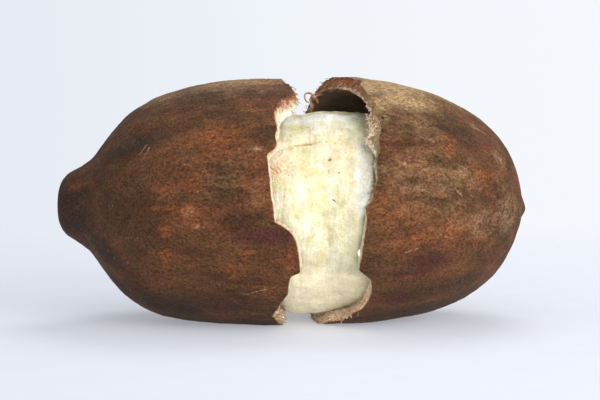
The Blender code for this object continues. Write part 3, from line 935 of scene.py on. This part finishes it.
# %% Pulp measures
END_CLEARANCE = 3.0
FLOOR_CLEARANCE = 0.5
MOST_SETTLING = 4.8
PULP_WIDTH_SHARE = 0.935
PULP_HEIGHT_SHARE = 0.9
FURROW_DEPTH = 1.6
FURROW_WIDTH = 6.0
FURROW_FADE = 20.0
LONG_FURROWS = (28, 98, 168, -122, -30)
CROSS_FURROWS = (
    (-30, (-64, -37, -12, 14.5, 40, 66)),
    (28, (-52, -24, 3, 29, 54, 78)),
    (98, (-66, -40, -13, 12, 38, 63)),
    (168, (-50, -25, 0, 26, 52, 76)),
    (-122, (-62, -35, -8, 18, 44, 70)),
)
PASSING_FROM = -10.0
PASSING_LENGTH = 30.0
PULP_RINGS = 270
PULP_ROUND_POINTS = 330
PULP_CREASES = (  # x, angle, x, angle, half width and depth
    (-12, 38.0, 1, 43.6, 1.3, 0.9), (1.0, 43.9, 2.6, 45.1, 1.0, 1.6), (2.6, 45.1, 5.1, 44.9, 1.3, 2.4),
    (5.1, 44.9, 8.0, 44.1, 1.2, 2.2), (8.5, 44.0, 21, 46.5, 1.3, 0.7),
    (13.4, 2.0, 13.8, -12, 1.6, 1.1), (13.8, -12, 12.8, -28, 2.2, 1.3), (17.6, 10.0, 20.8, 6.8, 0.7, 0.9),
    (-4, -33, 34, -34, 1.1, 0.5), (-11, 30.5, -6.5, 25.5, 0.7, 0.5), (24, 32, 27, 12, 2.0, 0.5),
    (-6, 20, -5, -14, 2.2, 0.5),
)
RIM_FILLING = (31, 25, 8, 0.8)  # place, angle, reach along the fruit and share
RIM_HALF_ANGLE = 75
CRACK_ENDS = (-17, 41)
CRACK_BLUR = 2.0
FRONT_SWELL = (20, 47, 2.4)  # angle, half width in degrees, and height
SAG = (2, -82, 9, 26, 2.0)  # place, angle, half length, half width in degrees, and height
LIP_SWELL = (16, -72, 8, 16, 3.0)
RIM_SWELL = (3.0, 14, 3.4, 24, 3.3)  # its place is counted from the tip half's rim


def passing_share(x):
    share = np.clip((x - PASSING_FROM) / PASSING_LENGTH, 0, 1)
    return share * share * (3 - 2 * share)


def hollow_at(x):
    """The radius that the pulp can fill at x, and the hollow's radius, side and height there."""
    stem, tip = smooth_outline(STEM_HOLLOW), smooth_outline(TIP_HOLLOW)
    from_stem, from_tip, share = x + HALF_LENGTH, HALF_LENGTH - x, passing_share(x)
    clear = np.minimum(read_list(stem, from_stem - END_CLEARANCE), read_list(tip, from_tip - END_CLEARANCE))
    radius = read_list(stem, from_stem) * (1 - share) + read_list(tip, from_tip) * share
    side = read_list(STEM_AXIS, from_stem, 1) * (1 - share) + read_list(TIP_AXIS, from_tip, 1) * share
    height = read_list(STEM_AXIS, from_stem, 2) * (1 - share) + read_list(TIP_AXIS, from_tip, 2) * share
    return clear, radius, side, height


def furrow_depth(x, angle, radius):
    def dip(away):
        return np.exp(-((away / FURROW_WIDTH) ** 2))

    def turn_between(a, b):
        return np.abs((a - b + 180) % 360 - 180)

    depth = np.max([dip(np.radians(turn_between(angle, a)) * radius) for a in LONG_FURROWS], axis=0)
    past_start = np.array([(angle - row[0]) % 360 for row in CROSS_FURROWS])
    column = past_start.argmin(axis=0)
    across = np.array([np.max([dip(x - at) for at in row[1]], axis=0) for row in CROSS_FURROWS])
    return FURROW_DEPTH * np.maximum(depth, np.take_along_axis(across, column[None], 0)[0])


def filled_by_rim(x, angle):
    """How much of a furrow is left: the front of the pulp lies smooth where it meets the tip's rim."""
    at, turn, reach, most = RIM_FILLING
    return 1 - most * np.exp(-((x - at) / reach) ** 2) * (np.abs(angle - turn) < RIM_HALF_ANGLE)


def hill(x, angle, at, turn, half_length, half_width, height):
    return height * np.exp(-((x - at) / half_length) ** 2 - ((angle - turn) / half_width) ** 2)


def before_rim(x, angle):
    """How far a place lies before the tip half's broken edge."""
    return read_round(TIP_CRACK, angle) - x


def swell(x, angle):
    """How far the pulp swells out of the crack, to the front and over the tip half's lip."""
    start, end = CRACK_ENDS
    in_crack = 1 / (1 + np.exp((start - x) / CRACK_BLUR)) / (1 + np.exp((x - end) / CRACK_BLUR))
    turn, half_width, most = FRONT_SWELL
    to_front = most * in_crack * np.exp(-((angle - turn) / half_width) ** 2)
    by_rim = hill(before_rim(x, angle), angle, *RIM_SWELL)
    return np.maximum(to_front + by_rim, hill(x, angle, *LIP_SWELL))


def crease_depth(x, angle):
    depth = np.zeros_like(x)
    arc = np.radians(angle) * UNROLL_RADIUS
    for x0, turn0, x1, turn1, half_width, most in PULP_CREASES:
        y0, y1 = np.radians(turn0) * UNROLL_RADIUS, np.radians(turn1) * UNROLL_RADIUS
        length = (x1 - x0) ** 2 + (y1 - y0) ** 2
        share = np.clip(((x - x0) * (x1 - x0) + (arc - y0) * (y1 - y0)) / length, 0, 1)
        away = np.hypot(x - x0 - share * (x1 - x0), arc - y0 - share * (y1 - y0))
        depth = np.maximum(depth, most * np.exp(-((away / half_width) ** 2)))
    return depth


print("creases on the pulp:", len(PULP_CREASES))

# %% [markdown]
# ## The pulp's finish
# Fresh pulp is a soft cream that lets a little light in, so it gets subsurface scattering. It is
# streaked white and yellow round the fruit and pinkish where it touched the air. An olive painted
# shade lies along the tip half's rim, where the rim shadows it. Along the bottom it is brushed, and
# painted lighter as painted light for its downward face. The whiter patches are partly its own flesh
# and partly painted light on its top and beside the tip's rim. A few specks and brown lines are drawn
# on; the brown along the crack is partly ochre flesh and partly painted shade in the crevice.

# %% Pulp finish
# Brown lines; the first three, along the crack, are partly ochre flesh and partly painted shade.
BROWN_STROKES = (
    (0.4, 43.6, 2.6, 44.6, 0.7), (2.6, 44.6, 5.1, 44.9, 1.5), (5.1, 44.9, 8.1, 44.0, 1.2),
    (-11.5, 31.0, -9.0, 27.5, 0.6),
    (-9.6, 28.8, -6.8, 25.4, 0.7), (-10.6, 27.0, -8.2, 25.2, 0.5), (-7.2, 29.6, -5.6, 26.4, 0.45),
    (-12, 39.2, -7, 41.0, 0.6), (15.6, 26.6, 16.0, 24.6, 0.5),
)
DARK_SPECKS = (
    (14.7, 44.8, 14.9, 44.8, 0.6), (16.0, 32.3, 16.6, 32.7, 0.8), (20.2, 24.8, 20.4, 24.9, 0.65),
    (-2.4, 24.1, -2.3, 24.1, 0.5), (17.6, 10.2, 18.6, 9.2, 0.5), (9.5, 30.5, 9.6, 30.5, 0.3),
    (23.5, 20.5, 23.6, 20.5, 0.3), (-4.5, 12.5, -4.4, 12.5, 0.3),
)
YELLOW_STREAKS = (
    (13.6, 2, 13.7, -14, 1.8), (13.4, -14, 12.8, -27, 3.0), (11, 26, 12, 4, 3.4), (5.5, 38, 5.0, 24, 5.0),
    (22, -6, 22, -22, 2.2), (-7, 22, -8, 16, 3.0), (28, 18, 29, -8, 2.6), (16, 44, 26, 38, 4.0),
)


def pulp_finish():
    material, tree, shader = new_finish("cream_pulp")
    here, flat_map = on_piece(tree), on_map(tree)
    runs = grain(tree, flat_map, 0.034, (1.0, 7.0, 1.0), 4.0, 0.6)
    brushed = grain(tree, flat_map, 0.02, (9.0, 1.0, 1.0), 4.0, 0.65)
    patches = grain(tree, flat_map, 0.085, (1.0, 1.6, 1.0), 3.0, 0.55)
    clots = grain(tree, here, 0.006, (1.0, 1.0, 1.0), 4.0, 0.6)
    pores = grain(tree, here, 0.0012, (1.0, 1.0, 1.0), 3.0, 0.7)

    def stained(name, share):
        return times(tree, between(tree, pushed(tree, mark(tree, name), clots, 0.7), 0.3, 0.9), share)

    cream = colour_steps(tree, both(tree, clots, 0.45, runs, 0.55), (
        (0.35, paint(207, 194, 144)), (0.45, paint(219, 210, 170)), (0.55, paint(226, 219, 190)),
        (0.66, paint(234, 231, 215)),
    ))
    tint = colour_steps(tree, patches, (
        (0.36, (1.0, 0.955, 0.87, 1)), (0.5, (1.0, 1.0, 1.0, 1)), (0.64, (0.985, 1.0, 0.99, 1))))
    raw = colour_steps(tree, pores, ((0.35, paint(230, 192, 152)), (0.6, paint(242, 218, 188))))
    # Lighter than the cream: painted light for the downward bottom band, in brushed streaks.
    dull = colour_steps(tree, brushed, ((0.35, paint(236, 221, 178)), (0.65, paint(245, 235, 204))))
    strokes = times(tree, drawn_lines(tree, flat_map, BROWN_STROKES), between(tree, pores, 0.2, 0.5))
    colour = coats(tree, blend_colours(tree, 1.0, cream, tint, "MULTIPLY"), (
        (times(tree, drawn_lines(tree, flat_map, YELLOW_STREAKS), 0.42), paint(232, 219, 152)),
        # Whiter patches: partly the pulp's own flesh, partly painted light on its top and by the tip's rim.
        (stained("white", 0.8), paint(244, 242, 232)),
        (stained("pink", 0.9), raw),
        (stained("green", 0.8), paint(212, 204, 142)),
        # The bottom band, painted lighter as painted light for its downward face.
        (mark(tree, "low_band"), dull),
        (mark(tree, "shaded"), paint(196, 184, 112)),
        (times(tree, strokes, 0.85), paint(188, 126, 36)),
        (drawn_lines(tree, flat_map, DARK_SPECKS), paint(92, 74, 52)),
    ))
    shade = between(tree, both(tree, pores, 0.55, clots, 0.45), 0.33, 0.67, 0.85, 1.07)
    height = work_out(tree, "MULTIPLY_ADD", runs, 1.6, work_out(tree, "MULTIPLY_ADD", clots, 0.8, pores))
    fill(tree, shader, {
        "Base Color": shaded(tree, colour, shade, work_out(tree, "POWER", shade, 1.25)),
        "Roughness": between(tree, clots, 0.3, 0.7, 0.25, 0.5),
        "Normal": bumps(tree, height, 0.0009, 0.75), "Specular IOR Level": 0.4,
        "Subsurface Weight": 0.5, "Subsurface Radius": (1.0, 0.85, 0.55), "Subsurface Scale": 0.005,
    })
    return material


CREAM_PULP = pulp_finish()
print("finish:", CREAM_PULP.name, len(CREAM_PULP.node_tree.nodes), "nodes")

# %% Pulp mass
PINK_PATCHES = ((-8, 31, 11, 8, 1.2), (-5, 25, 6, 5, 0.9), (16.6, 25.6, 2.4, 2.4, 1.5), (22, 40, 9, 6, 0.8),
                (19, 36, 5, 4, 0.9), (-6, 46, 8, 5, 0.6), (13.4, -26, 2.5, 5, 0.6), (8, 52, 10, 4, 0.4),
                (3.5, 55, 2.0, 2.5, 0.9), (10, 25, 4, 8, 0.35))
GREEN_PATCHES = ((1.8, 57.5, 5, 6, 1.2), (12, 66, 12, 6, 0.3), (-4, 17, 3, 4, 0.5), (10, 36, 5, 5, 0.5),
                 (27, 4, 5, 20, 0.4))
# Whiter patches: partly the pulp's own flesh, partly painted light on its top and by the tip's rim.
WHITE_PATCHES = ((31, 16, 6, 24, 0.9), (12, 57, 26, 12, 0.6), (14, 70, 24, 8, 1.1), (-9, 60, 4, 10, 0.5),
                 (28, 54, 6, 10, 0.4), (4, 52, 20, 4, 0.4))
LOW_BAND_TOP = -33.0
LOW_BAND_BLUR = 2.0
RIM_SHADE_REACH = 1.3
RIM_SHADE = 0.4
PULP_LAYERS = ((0.35, 9.0), (0.2, 3.4), (0.1, 1.6))  # heights and sizes of the lumps, in millimetres
LUMP_RADIUS = 50
WRINKLE_LAYERS = ((0.22, 2.2),)
WRINKLES_UP_TO = 150  # degrees to both sides of the front
EVEN_DIP = 0.3  # keeps the lumps inside the solid's surface


def pulp_mass():
    low = -HALF_LENGTH + STEM_HOLLOW[0][0] + END_CLEARANCE
    high = HALF_LENGTH - TIP_HOLLOW[0][0] - END_CLEARANCE
    middle, reach = (low + high) / 2, (high - low) / 2
    turns = np.pi * np.arange(1, PULP_RINGS + 1) / (PULP_RINGS + 1)
    angles = np.linspace(-180, 180, PULP_ROUND_POINTS, endpoint=False)
    x, angle = np.meshgrid(middle - reach * np.cos(turns), angles, indexing="ij")
    clear, radius, side, height = hollow_at(x)
    wide, tall = PULP_WIDTH_SHARE * clear, PULP_HEIGHT_SHARE * clear
    settled = height - np.minimum(MOST_SETTLING, radius - tall - FLOOR_CLEARANCE)
    turn = np.radians(angle)
    flat = np.stack([x, turn * UNROLL_RADIUS, 0 * x], -1)
    ring = np.stack([x, LUMP_RADIUS * np.cos(turn), LUMP_RADIUS * np.sin(turn)], -1)
    wrinkles = layered(flat * (1.0, 0.14, 1.0), WRINKLE_LAYERS, 301) * (np.abs(angle) < WRINKLES_UP_TO)
    dips = furrow_depth(x, angle, clear) * filled_by_rim(x, angle) + crease_depth(x, angle)
    dips = dips - wrinkles - layered(ring, PULP_LAYERS, 302) + EVEN_DIP
    share = 1 - (dips - swell(x, angle)) / np.maximum(clear, FURROW_FADE)
    grid = np.stack([x, side - wide * share * np.cos(turn), settled + tall * share * np.sin(turn)], -1)
    grid[..., 2] -= hill(x, angle, *SAG)
    marks = {
        "pink": patch_marks(PINK_PATCHES, x, angle, 311, (-40, 60), 3),
        "green": patch_marks(GREEN_PATCHES, x, angle, 312, (-40, 60), 5),
        "low_band": 1 / (1 + np.exp((angle - LOW_BAND_TOP) / LOW_BAND_BLUR)),
        "white": patch_marks(WHITE_PATCHES, x, angle, 313, (-40, 60), 3),
        "shaded": RIM_SHADE * (np.abs(angle) < RIM_HALF_ANGLE)
        * np.exp(-np.maximum(before_rim(x, angle), 0) / RIM_SHADE_REACH),
    }
    first, last = grid[0].mean(0), grid[-1].mean(0)
    first[0], last[0] = low, high
    piece = closed_skin("pulp_mass", grid, first, last, angles, (CREAM_PULP,), [0] * PULP_RINGS, marks)
    return piece, grid, angles


pulp, pulp_grid, pulp_angles = pulp_mass()

# %% [markdown]
# ## Torn fibres along the broken edges
# The wall tears into hundreds of short stiff threads. They repeat along a path, so a geometry node
# tree makes them: it scatters points over the torn wall, thicker where a number called fray is high,
# and stands a thin bent strand on each, leaning the way the wall was pulled. The tree ends in plain
# faces with a material, and the result is kept as an ordinary mesh.

# %% Fibre finish


def fibre_finish():
    material, tree, shader = new_finish("torn_fibre")
    here = on_piece(tree)
    dapple = grain(tree, here, 0.003)
    colour = colour_steps(tree, pushed(tree, mark(tree, "tone"), dapple, 0.6), (
        (0.0, paint(100, 58, 34)), (0.3, paint(158, 98, 56)), (0.6, paint(208, 164, 122)),
        (0.9, paint(242, 215, 186)),
    ))
    fill(tree, shader, {
        "Base Color": colour, "Roughness": between(tree, dapple, 0.3, 0.7, 0.5, 0.8),
        "Normal": bumps(tree, grain(tree, here, 0.0005), 0.0001, 0.5),
    })
    return material


TORN_FIBRE = fibre_finish()

# %% Tree that stands torn fibres on a wall
STRAND_SHAPES = (  # middle and end of each bent strand, for a strand one unit long
    ((0.10, 0.02, 0.5), (0.32, 0.05, 0.95)),
    ((-0.20, 0.10, 0.45), (0.05, 0.30, 0.90)),
    ((0.05, -0.25, 0.55), (0.45, -0.30, 0.75)),
    ((0.30, 0.20, 0.40), (0.70, 0.00, 0.50)),
)
LEAN = 0.9  # how far a strand may lean off its way, in radians
ANY_TURN = 3.1


def stored(tree, name, kind="FLOAT"):
    node = place(tree, "GeometryNodeInputNamedAttribute", {"Name": name}, data_type=kind)
    return node.outputs["Attribute"]


def by_chance(tree, kind, low, high, seed=0):
    node = place(tree, "FunctionNodeRandomValue", {"Min": low, "Max": high, "Seed": seed}, data_type=kind)
    return node.outputs["Value"]


def spots_on(tree, patch, thickness, most, seed):
    """Points scattered over a patch, thicker where the number called thickness is high."""
    return place(tree, "GeometryNodeDistributePointsOnFaces", {
        "Mesh": patch, "Seed": seed, "Density": times(tree, thickness, most)}).outputs[0]


def hand_out(tree, copies, tone, finish, out):
    """Gives each copy its tone, makes plain faces of them all and sets their material."""
    toned = place(tree, "GeometryNodeStoreNamedAttribute", {
        "Geometry": copies, "Name": "tone", "Value": tone}, data_type="FLOAT", domain="INSTANCE")
    real = place(tree, "GeometryNodeRealizeInstances", {"Geometry": toned.outputs[0]})
    done = place(tree, "GeometryNodeSetMaterial", {"Geometry": real.outputs[0], "Material": finish})
    tree.links.new(done.outputs[0], out[0])


def fibre_tree():
    tree, given, out = new_group("torn_fibre_rows", (
        ("Wall", "Geometry", None), ("Fibres per square metre", "Float", 1e6),
        ("Fibre length", "Float", 0.003), ("Fibre width", "Float", 0.0002),
        ("Seed", "Int", 1), ("Finish", "Material", None),
    ), (("Fibres", "Geometry"),), "GeometryNodeTree")
    fray = stored(tree, "fray")
    strands = tree.nodes.new("GeometryNodeJoinGeometry")
    ring = place(tree, "GeometryNodeCurvePrimitiveCircle", {"Resolution": 3, "Radius": given["Fibre width"]})
    for middle, end in STRAND_SHAPES:
        bent = place(tree, "GeometryNodeCurveQuadraticBezier", {"Resolution": 4, "Start": (0, 0, 0)})
        for socket, point in (("Middle", middle), ("End", end)):
            reach = place(tree, "ShaderNodeVectorMath", {
                0: point, "Scale": given["Fibre length"]}, operation="SCALE")
            tree.links.new(reach.outputs[0], bent.inputs[socket])
        along = tree.nodes.new("GeometryNodeSplineParameter").outputs["Factor"]
        thin = place(tree, "GeometryNodeSetCurveRadius", {
            "Curve": bent.outputs[0], "Radius": work_out(tree, "MULTIPLY_ADD", along, -0.75, 1.0)})
        tube = place(tree, "GeometryNodeCurveToMesh", {
            "Curve": thin.outputs[0], "Profile Curve": ring.outputs[0], "Fill Caps": True})
        one = place(tree, "GeometryNodeGeometryToInstance", {"Geometry": tube.outputs[0]})
        tree.links.new(one.outputs[0], strands.inputs[0])
    aimed = place(tree, "FunctionNodeAlignRotationToVector", {
        "Vector": stored(tree, "fibre_way", "FLOAT_VECTOR")}, axis="Z")
    least, most = (-LEAN, -LEAN, -ANY_TURN), (LEAN, LEAN, ANY_TURN)
    leaning = by_chance(tree, "FLOAT_VECTOR", least, most, given["Seed"])
    turned = place(tree, "FunctionNodeRotateRotation", {
        "Rotation": aimed.outputs[0], "Rotate By": leaning}, rotation_space="LOCAL")
    stand = place(tree, "GeometryNodeInstanceOnPoints", {
        "Points": spots_on(tree, given["Wall"], fray, given["Fibres per square metre"], given["Seed"]),
        "Instance": strands.outputs[0], "Pick Instance": True,
        "Instance Index": by_chance(tree, "INT", 0, len(STRAND_SHAPES) - 1), "Rotation": turned.outputs[0],
        "Scale": times(tree, by_chance(tree, "FLOAT", 0.35, 1.1), work_out(tree, "POWER", fray, 0.5))})
    tone = work_out(tree, "ADD", stored(tree, "thread_tone"), by_chance(tree, "FLOAT", -0.35, 0.4, 7))
    hand_out(tree, stand.outputs[0], tone, given["Finish"], out)
    return tree


FIBRE_TREE = fibre_tree()
print("tree:", FIBRE_TREE.name, len(FIBRE_TREE.nodes), "nodes")

# %% Growing a tree's shapes on a patch


def grown(name, grid, marks, tree, values):
    """Runs a geometry node tree on a closed band of points and keeps what it makes as a plain mesh."""
    mesh = bpy.data.meshes.new(name)
    mesh.from_pydata((grid.reshape(-1, 3) * MM).tolist(), [], ring_quads(*grid.shape[:2]).tolist())
    for kind, numbers in marks.items():
        numbers = np.asarray(numbers, np.float32)
        kept_as, field = ("FLOAT_VECTOR", "vector") if numbers.ndim == 3 else ("FLOAT", "value")
        mesh.attributes.new(kind, kept_as, "POINT").data.foreach_set(field, numbers.ravel())
    source = add_object(name + "_source", mesh)
    modifier = source.modifiers.new("growth", "NODES")
    modifier.node_group = tree
    sockets = {s.name: s.identifier for s in tree.interface.items_tree if s.in_out == "INPUT"}
    for socket, value in values.items():
        modifier[sockets[socket]] = value
    graph = bpy.context.evaluated_depsgraph_get()
    made = bpy.data.meshes.new_from_object(
        source.evaluated_get(graph), preserve_all_data_layers=True, depsgraph=graph)
    bpy.data.objects.remove(source)
    places = np.empty(len(made.vertices) * 3, np.float32)
    made.vertices.foreach_get("co", places)
    made.vertices.foreach_set("co", in_cad_box(places.reshape(-1, 3)).ravel())
    made.shade_smooth()
    made.name = name
    print(name, len(made.polygons), "faces")
    return add_object(name, made)


# %% Fibres on both broken edges


def torn_fibres(name, wall, inward, fray_list, tone_list, length, width, thickly, droop, seed):
    turn = np.radians(ANGLES) + np.zeros(wall.shape[:2])
    way = [0.75 * inward + 0 * turn, 0.25 * np.cos(turn), -0.25 * np.sin(turn) - droop]
    return grown(name, wall, {
        "fray": read_round(fray_list, ANGLES) + 0 * turn,
        "thread_tone": read_round(tone_list, ANGLES) + 0 * turn,
        "fibre_way": np.stack(way, -1),
    }, FIBRE_TREE, {
        "Fibres per square metre": thickly, "Fibre length": length * MM, "Fibre width": width * MM,
        "Seed": seed, "Finish": TORN_FIBRE,
    })


STEM_TUFTS = ((-180, 0), (-70, 0), (-67, 0.7), (-60, 1.0), (-56, 0.3), (-52, 0), (-12, 0), (-9, 0.3),
              (-5, 0.25), (-3, 0), (180, 0))
TUFT_TONE = ((-180, 0.35), (180, 0.35))
stem_fibres = torn_fibres("torn_fibres_stem_edge", stem_wall, 1, STEM_FRAY, STEM_THREAD_TONE,
                          2.6, 0.11, 1.1e6, 0.45, 11)
tip_fibres = torn_fibres("torn_fibres_tip_edge", tip_wall, -1, TIP_FRAY, TIP_THREAD_TONE,
                         3.2, 0.11, 1.1e6, 0.45, 12)
stem_tufts = torn_fibres("torn_tufts_stem_edge", stem_wall, 1, STEM_TUFTS, TUFT_TONE,
                         4.0, 0.12, 1.2e6, -0.2, 13)

# %% [markdown]
# ## Crumbs and beads
# The inner rim of the tip half and its broken lip at the bottom are crumbly, and the wet pulp stands in
# small beads along its right edge. Both are small lumps thrown over a patch, so one tree makes them:
# a number called crumb says where they lie and how thick.

# %% Tree that scatters lumps
SMALLEST_LUMP = (0.35, 0.35, 0.35)
LARGEST_LUMP = (1.2, 1.0, 1.6)


def lump_tree():
    tree, given, out = new_group("scattered_lumps", (
        ("Patch", "Geometry", None), ("Lumps per square metre", "Float", 1e6), ("Lump size", "Float", 0.0005),
        ("Tone", "Float", 0.8), ("Seed", "Int", 1), ("Finish", "Material", None),
    ), (("Lumps", "Geometry"),), "GeometryNodeTree")
    lump = place(tree, "GeometryNodeMeshIcoSphere", {"Radius": given["Lump size"], "Subdivisions": 1})
    most, crumb = given["Lumps per square metre"], stored(tree, "crumb")
    laid = place(tree, "GeometryNodeInstanceOnPoints", {
        "Points": spots_on(tree, given["Patch"], crumb, most, given["Seed"]),
        "Instance": lump.outputs[0],
        "Rotation": by_chance(tree, "FLOAT_VECTOR", (-ANY_TURN,) * 3, (ANY_TURN,) * 3, given["Seed"]),
        "Scale": by_chance(tree, "FLOAT_VECTOR", SMALLEST_LUMP, LARGEST_LUMP, given["Seed"])})
    tone = work_out(tree, "ADD", by_chance(tree, "FLOAT", -0.3, 0.25, 5), given["Tone"])
    hand_out(tree, laid.outputs[0], tone, given["Finish"], out)
    return tree


LUMP_TREE = lump_tree()
print("tree:", LUMP_TREE.name, len(LUMP_TREE.nodes), "nodes")

# %% Crumbs and pulp beads
RIM_CRUMBS = ((-180, 0), (28, 0), (33, 1), (56, 0.9), (64, 0.35), (80, 0.3), (88, 0), (180, 0))
LIP_CRUMBS = ((-180, 0), (-100, 0), (-88, 0.5), (-50, 0.7), (-42, 0), (180, 0))
PULP_BEADS = ((32.4, 21, 2.4, 8, 1.3), (31.0, 33, 2.0, 4, 0.7), (34.5, 12, 1.5, 3, 0.6),
              (-10, 20, 1.5, 4, 0.3))


def bead_finish():
    material, tree, shader = new_finish("wet_pulp")
    cloudy = grain(tree, on_piece(tree), 0.002)
    fill(tree, shader, {
        "Base Color": colour_steps(tree, cloudy, (
            (0.35, paint(236, 228, 192)), (0.65, paint(247, 244, 230)))),
        "Roughness": between(tree, cloudy, 0.3, 0.7, 0.12, 0.3),
        "Subsurface Weight": 0.2, "Subsurface Radius": (1.0, 0.8, 0.45), "Subsurface Scale": 0.001,
    })
    return material


WET_PULP = bead_finish()
depth = np.linspace(0, 1, len(tip_wall))[:, None]
by_rim = np.clip((depth - 0.55) / 0.3, 0, 1) * read_round(RIM_CRUMBS, ANGLES)
on_lip = np.clip(depth / 0.2, 0, 1) * read_round(LIP_CRUMBS, ANGLES)
tip_crumbs = grown("husk_crumbs", tip_wall, {"crumb": by_rim + on_lip}, LUMP_TREE, {
    "Lumps per square metre": 2.0e6, "Lump size": 0.5 * MM, "Tone": 0.9, "Seed": 31, "Finish": TORN_FIBRE})
pulp_x = pulp_grid[..., 0]
wet = patch_marks(PULP_BEADS, pulp_x, pulp_angles + 0 * pulp_x, 41, (0, 1), 0)
beads = grown("pulp_beads", pulp_grid, {"crumb": wet}, LUMP_TREE, {
    "Lumps per square metre": 0.8e6, "Lump size": 0.55 * MM, "Tone": 0.9, "Seed": 32, "Finish": WET_PULP})

# %% [markdown]
# ## A curl, a strip and a stuck bit of pulp
# Two strips of husk have peeled off the tip half's far rim, and the thin one has curled into a ring. A
# small white bit of pulp sticks to its near rim. Each is a flat tube along a smooth curve, with its
# own widths, because no two of them are alike.

# %% A curl, a strip and a stuck bit
STRIP_POINTS = 12
STRIP_RINGS = 8  # between two rows of a list
CURL = (  # x, y, z, width and thickness in millimetres
    (7.3, 30.0, 104.8, 0.5, 0.4), (5.95, 30.2, 105.5, 0.65, 0.5), (5.1, 30.2, 107.3, 0.75, 0.55),
    (5.3, 30.0, 108.8, 0.8, 0.6), (6.4, 29.4, 109.6, 0.9, 0.65), (7.9, 28.4, 109.4, 1.1, 0.7),
    (9.2, 26.0, 108.6, 1.5, 0.8), (10.4, 22.5, 107.4, 1.9, 0.9), (11.3, 21.0, 105.9, 1.5, 0.8),
    (11.6, 21.5, 104.6, 0.7, 0.5),
)
STRIP = (
    (8.5, 27.0, 108.1, 0.8, 0.4), (8.2, 26.0, 106.1, 1.6, 0.6), (8.8, 25.5, 103.7, 1.9, 0.7),
    (8.5, 27.0, 101.3, 1.6, 0.6), (7.8, 29.0, 99.4, 0.9, 0.5),
)
WHITE_BIT = ((29.4, -52.6, 39.9, 0.4, 0.4), (29.0, -53.4, 38.3, 1.3, 1.1), (29.3, -52.6, 36.7, 0.4, 0.4))


def strip_rings(rows):
    """Rings of a flat tube along the curve through the rows, and the two ends."""
    rows = np.array(rows, float)
    at = np.linspace(0, len(rows) - 1, STRIP_RINGS * (len(rows) - 1) + 1)
    padded = np.vstack([2 * rows[0] - rows[1], rows, 2 * rows[-1] - rows[-2]])
    cell = np.minimum(at.astype(int), len(rows) - 2)
    line = curve_between(*(padded[cell + i] for i in range(4)), (at - cell)[:, None])
    path, width, thickness = line[:, None, :3], line[:, None, 3:4], line[:, None, 4:5]
    way = np.gradient(line[:, :3], axis=0)
    way /= np.linalg.norm(way, axis=1)[:, None]
    across = np.cross(way, (0.2, -1.0, 0.1))
    across /= np.linalg.norm(across, axis=1)[:, None]
    up = np.cross(across, way)
    turn = np.linspace(0, math.tau, STRIP_POINTS, endpoint=False)[None, :, None]
    sides = across[:, None] * np.cos(turn) * width / 2 + up[:, None] * np.sin(turn) * thickness / 2
    rough = 1 + 0.25 * unevenness(path + sides, 0.7, 51)[..., None]
    start, end = line[0, :3] - way[0] * line[0, 3] / 3, line[-1, :3] + way[-1] * line[-1, 3] / 3
    return path + sides * rough, start, end


def strips(name, all_rows, tone, finish):
    points, faces = [], []
    for rows in all_rows:
        rings, start, end = strip_rings(rows)
        for numbers in (ring_quads(len(rings), STRIP_POINTS), *end_fans(len(rings), STRIP_POINTS)):
            faces += (numbers + len(points)).tolist()
        points += [*rings.reshape(-1, 3).tolist(), start.tolist(), end.tolist()]
    mesh = bpy.data.meshes.new(name)
    mesh.from_pydata((np.array(points) * MM).tolist(), [], faces)
    tones = tone + 0.2 * unevenness(np.array(points), 1.5, 61)
    mesh.attributes.new("tone", "FLOAT", "POINT").data.foreach_set("value", tones.astype(np.float32))
    mesh.materials.append(finish)
    mesh.shade_smooth()
    shape = bmesh.new()
    shape.from_mesh(mesh)
    bmesh.ops.recalc_face_normals(shape, faces=shape.faces)
    shape.to_mesh(mesh)
    shape.free()
    print(name, len(mesh.polygons), "faces")
    return add_object(name, mesh)


fibre_curl = strips("fibre_curl", (CURL, STRIP), 0.55, TORN_FIBRE)
white_bit = strips("white_pulp_bit", (WHITE_BIT,), 0.9, WET_PULP)

# %% [markdown]
# ## What each piece rides on
# The fruit has no joint, so everything rides on its one body. The three fine skins stand in for the
# three CAD solids, which stay in the simulation for contact.

# %% Hand over to the frame
for piece, node, slot in ((stem_half_husk, "shell_stem_half", "shell"),
(tip_half_husk, "shell_tip_half", "shell"),
                          (pulp, "pulp", "pulp")):
    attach(piece, "root")
    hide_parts(node)
for piece in (stem_fibres, tip_fibres, stem_tufts, tip_crumbs, fibre_curl):
    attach(piece, "root")
for piece in (beads, white_bit):
    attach(piece, "root")
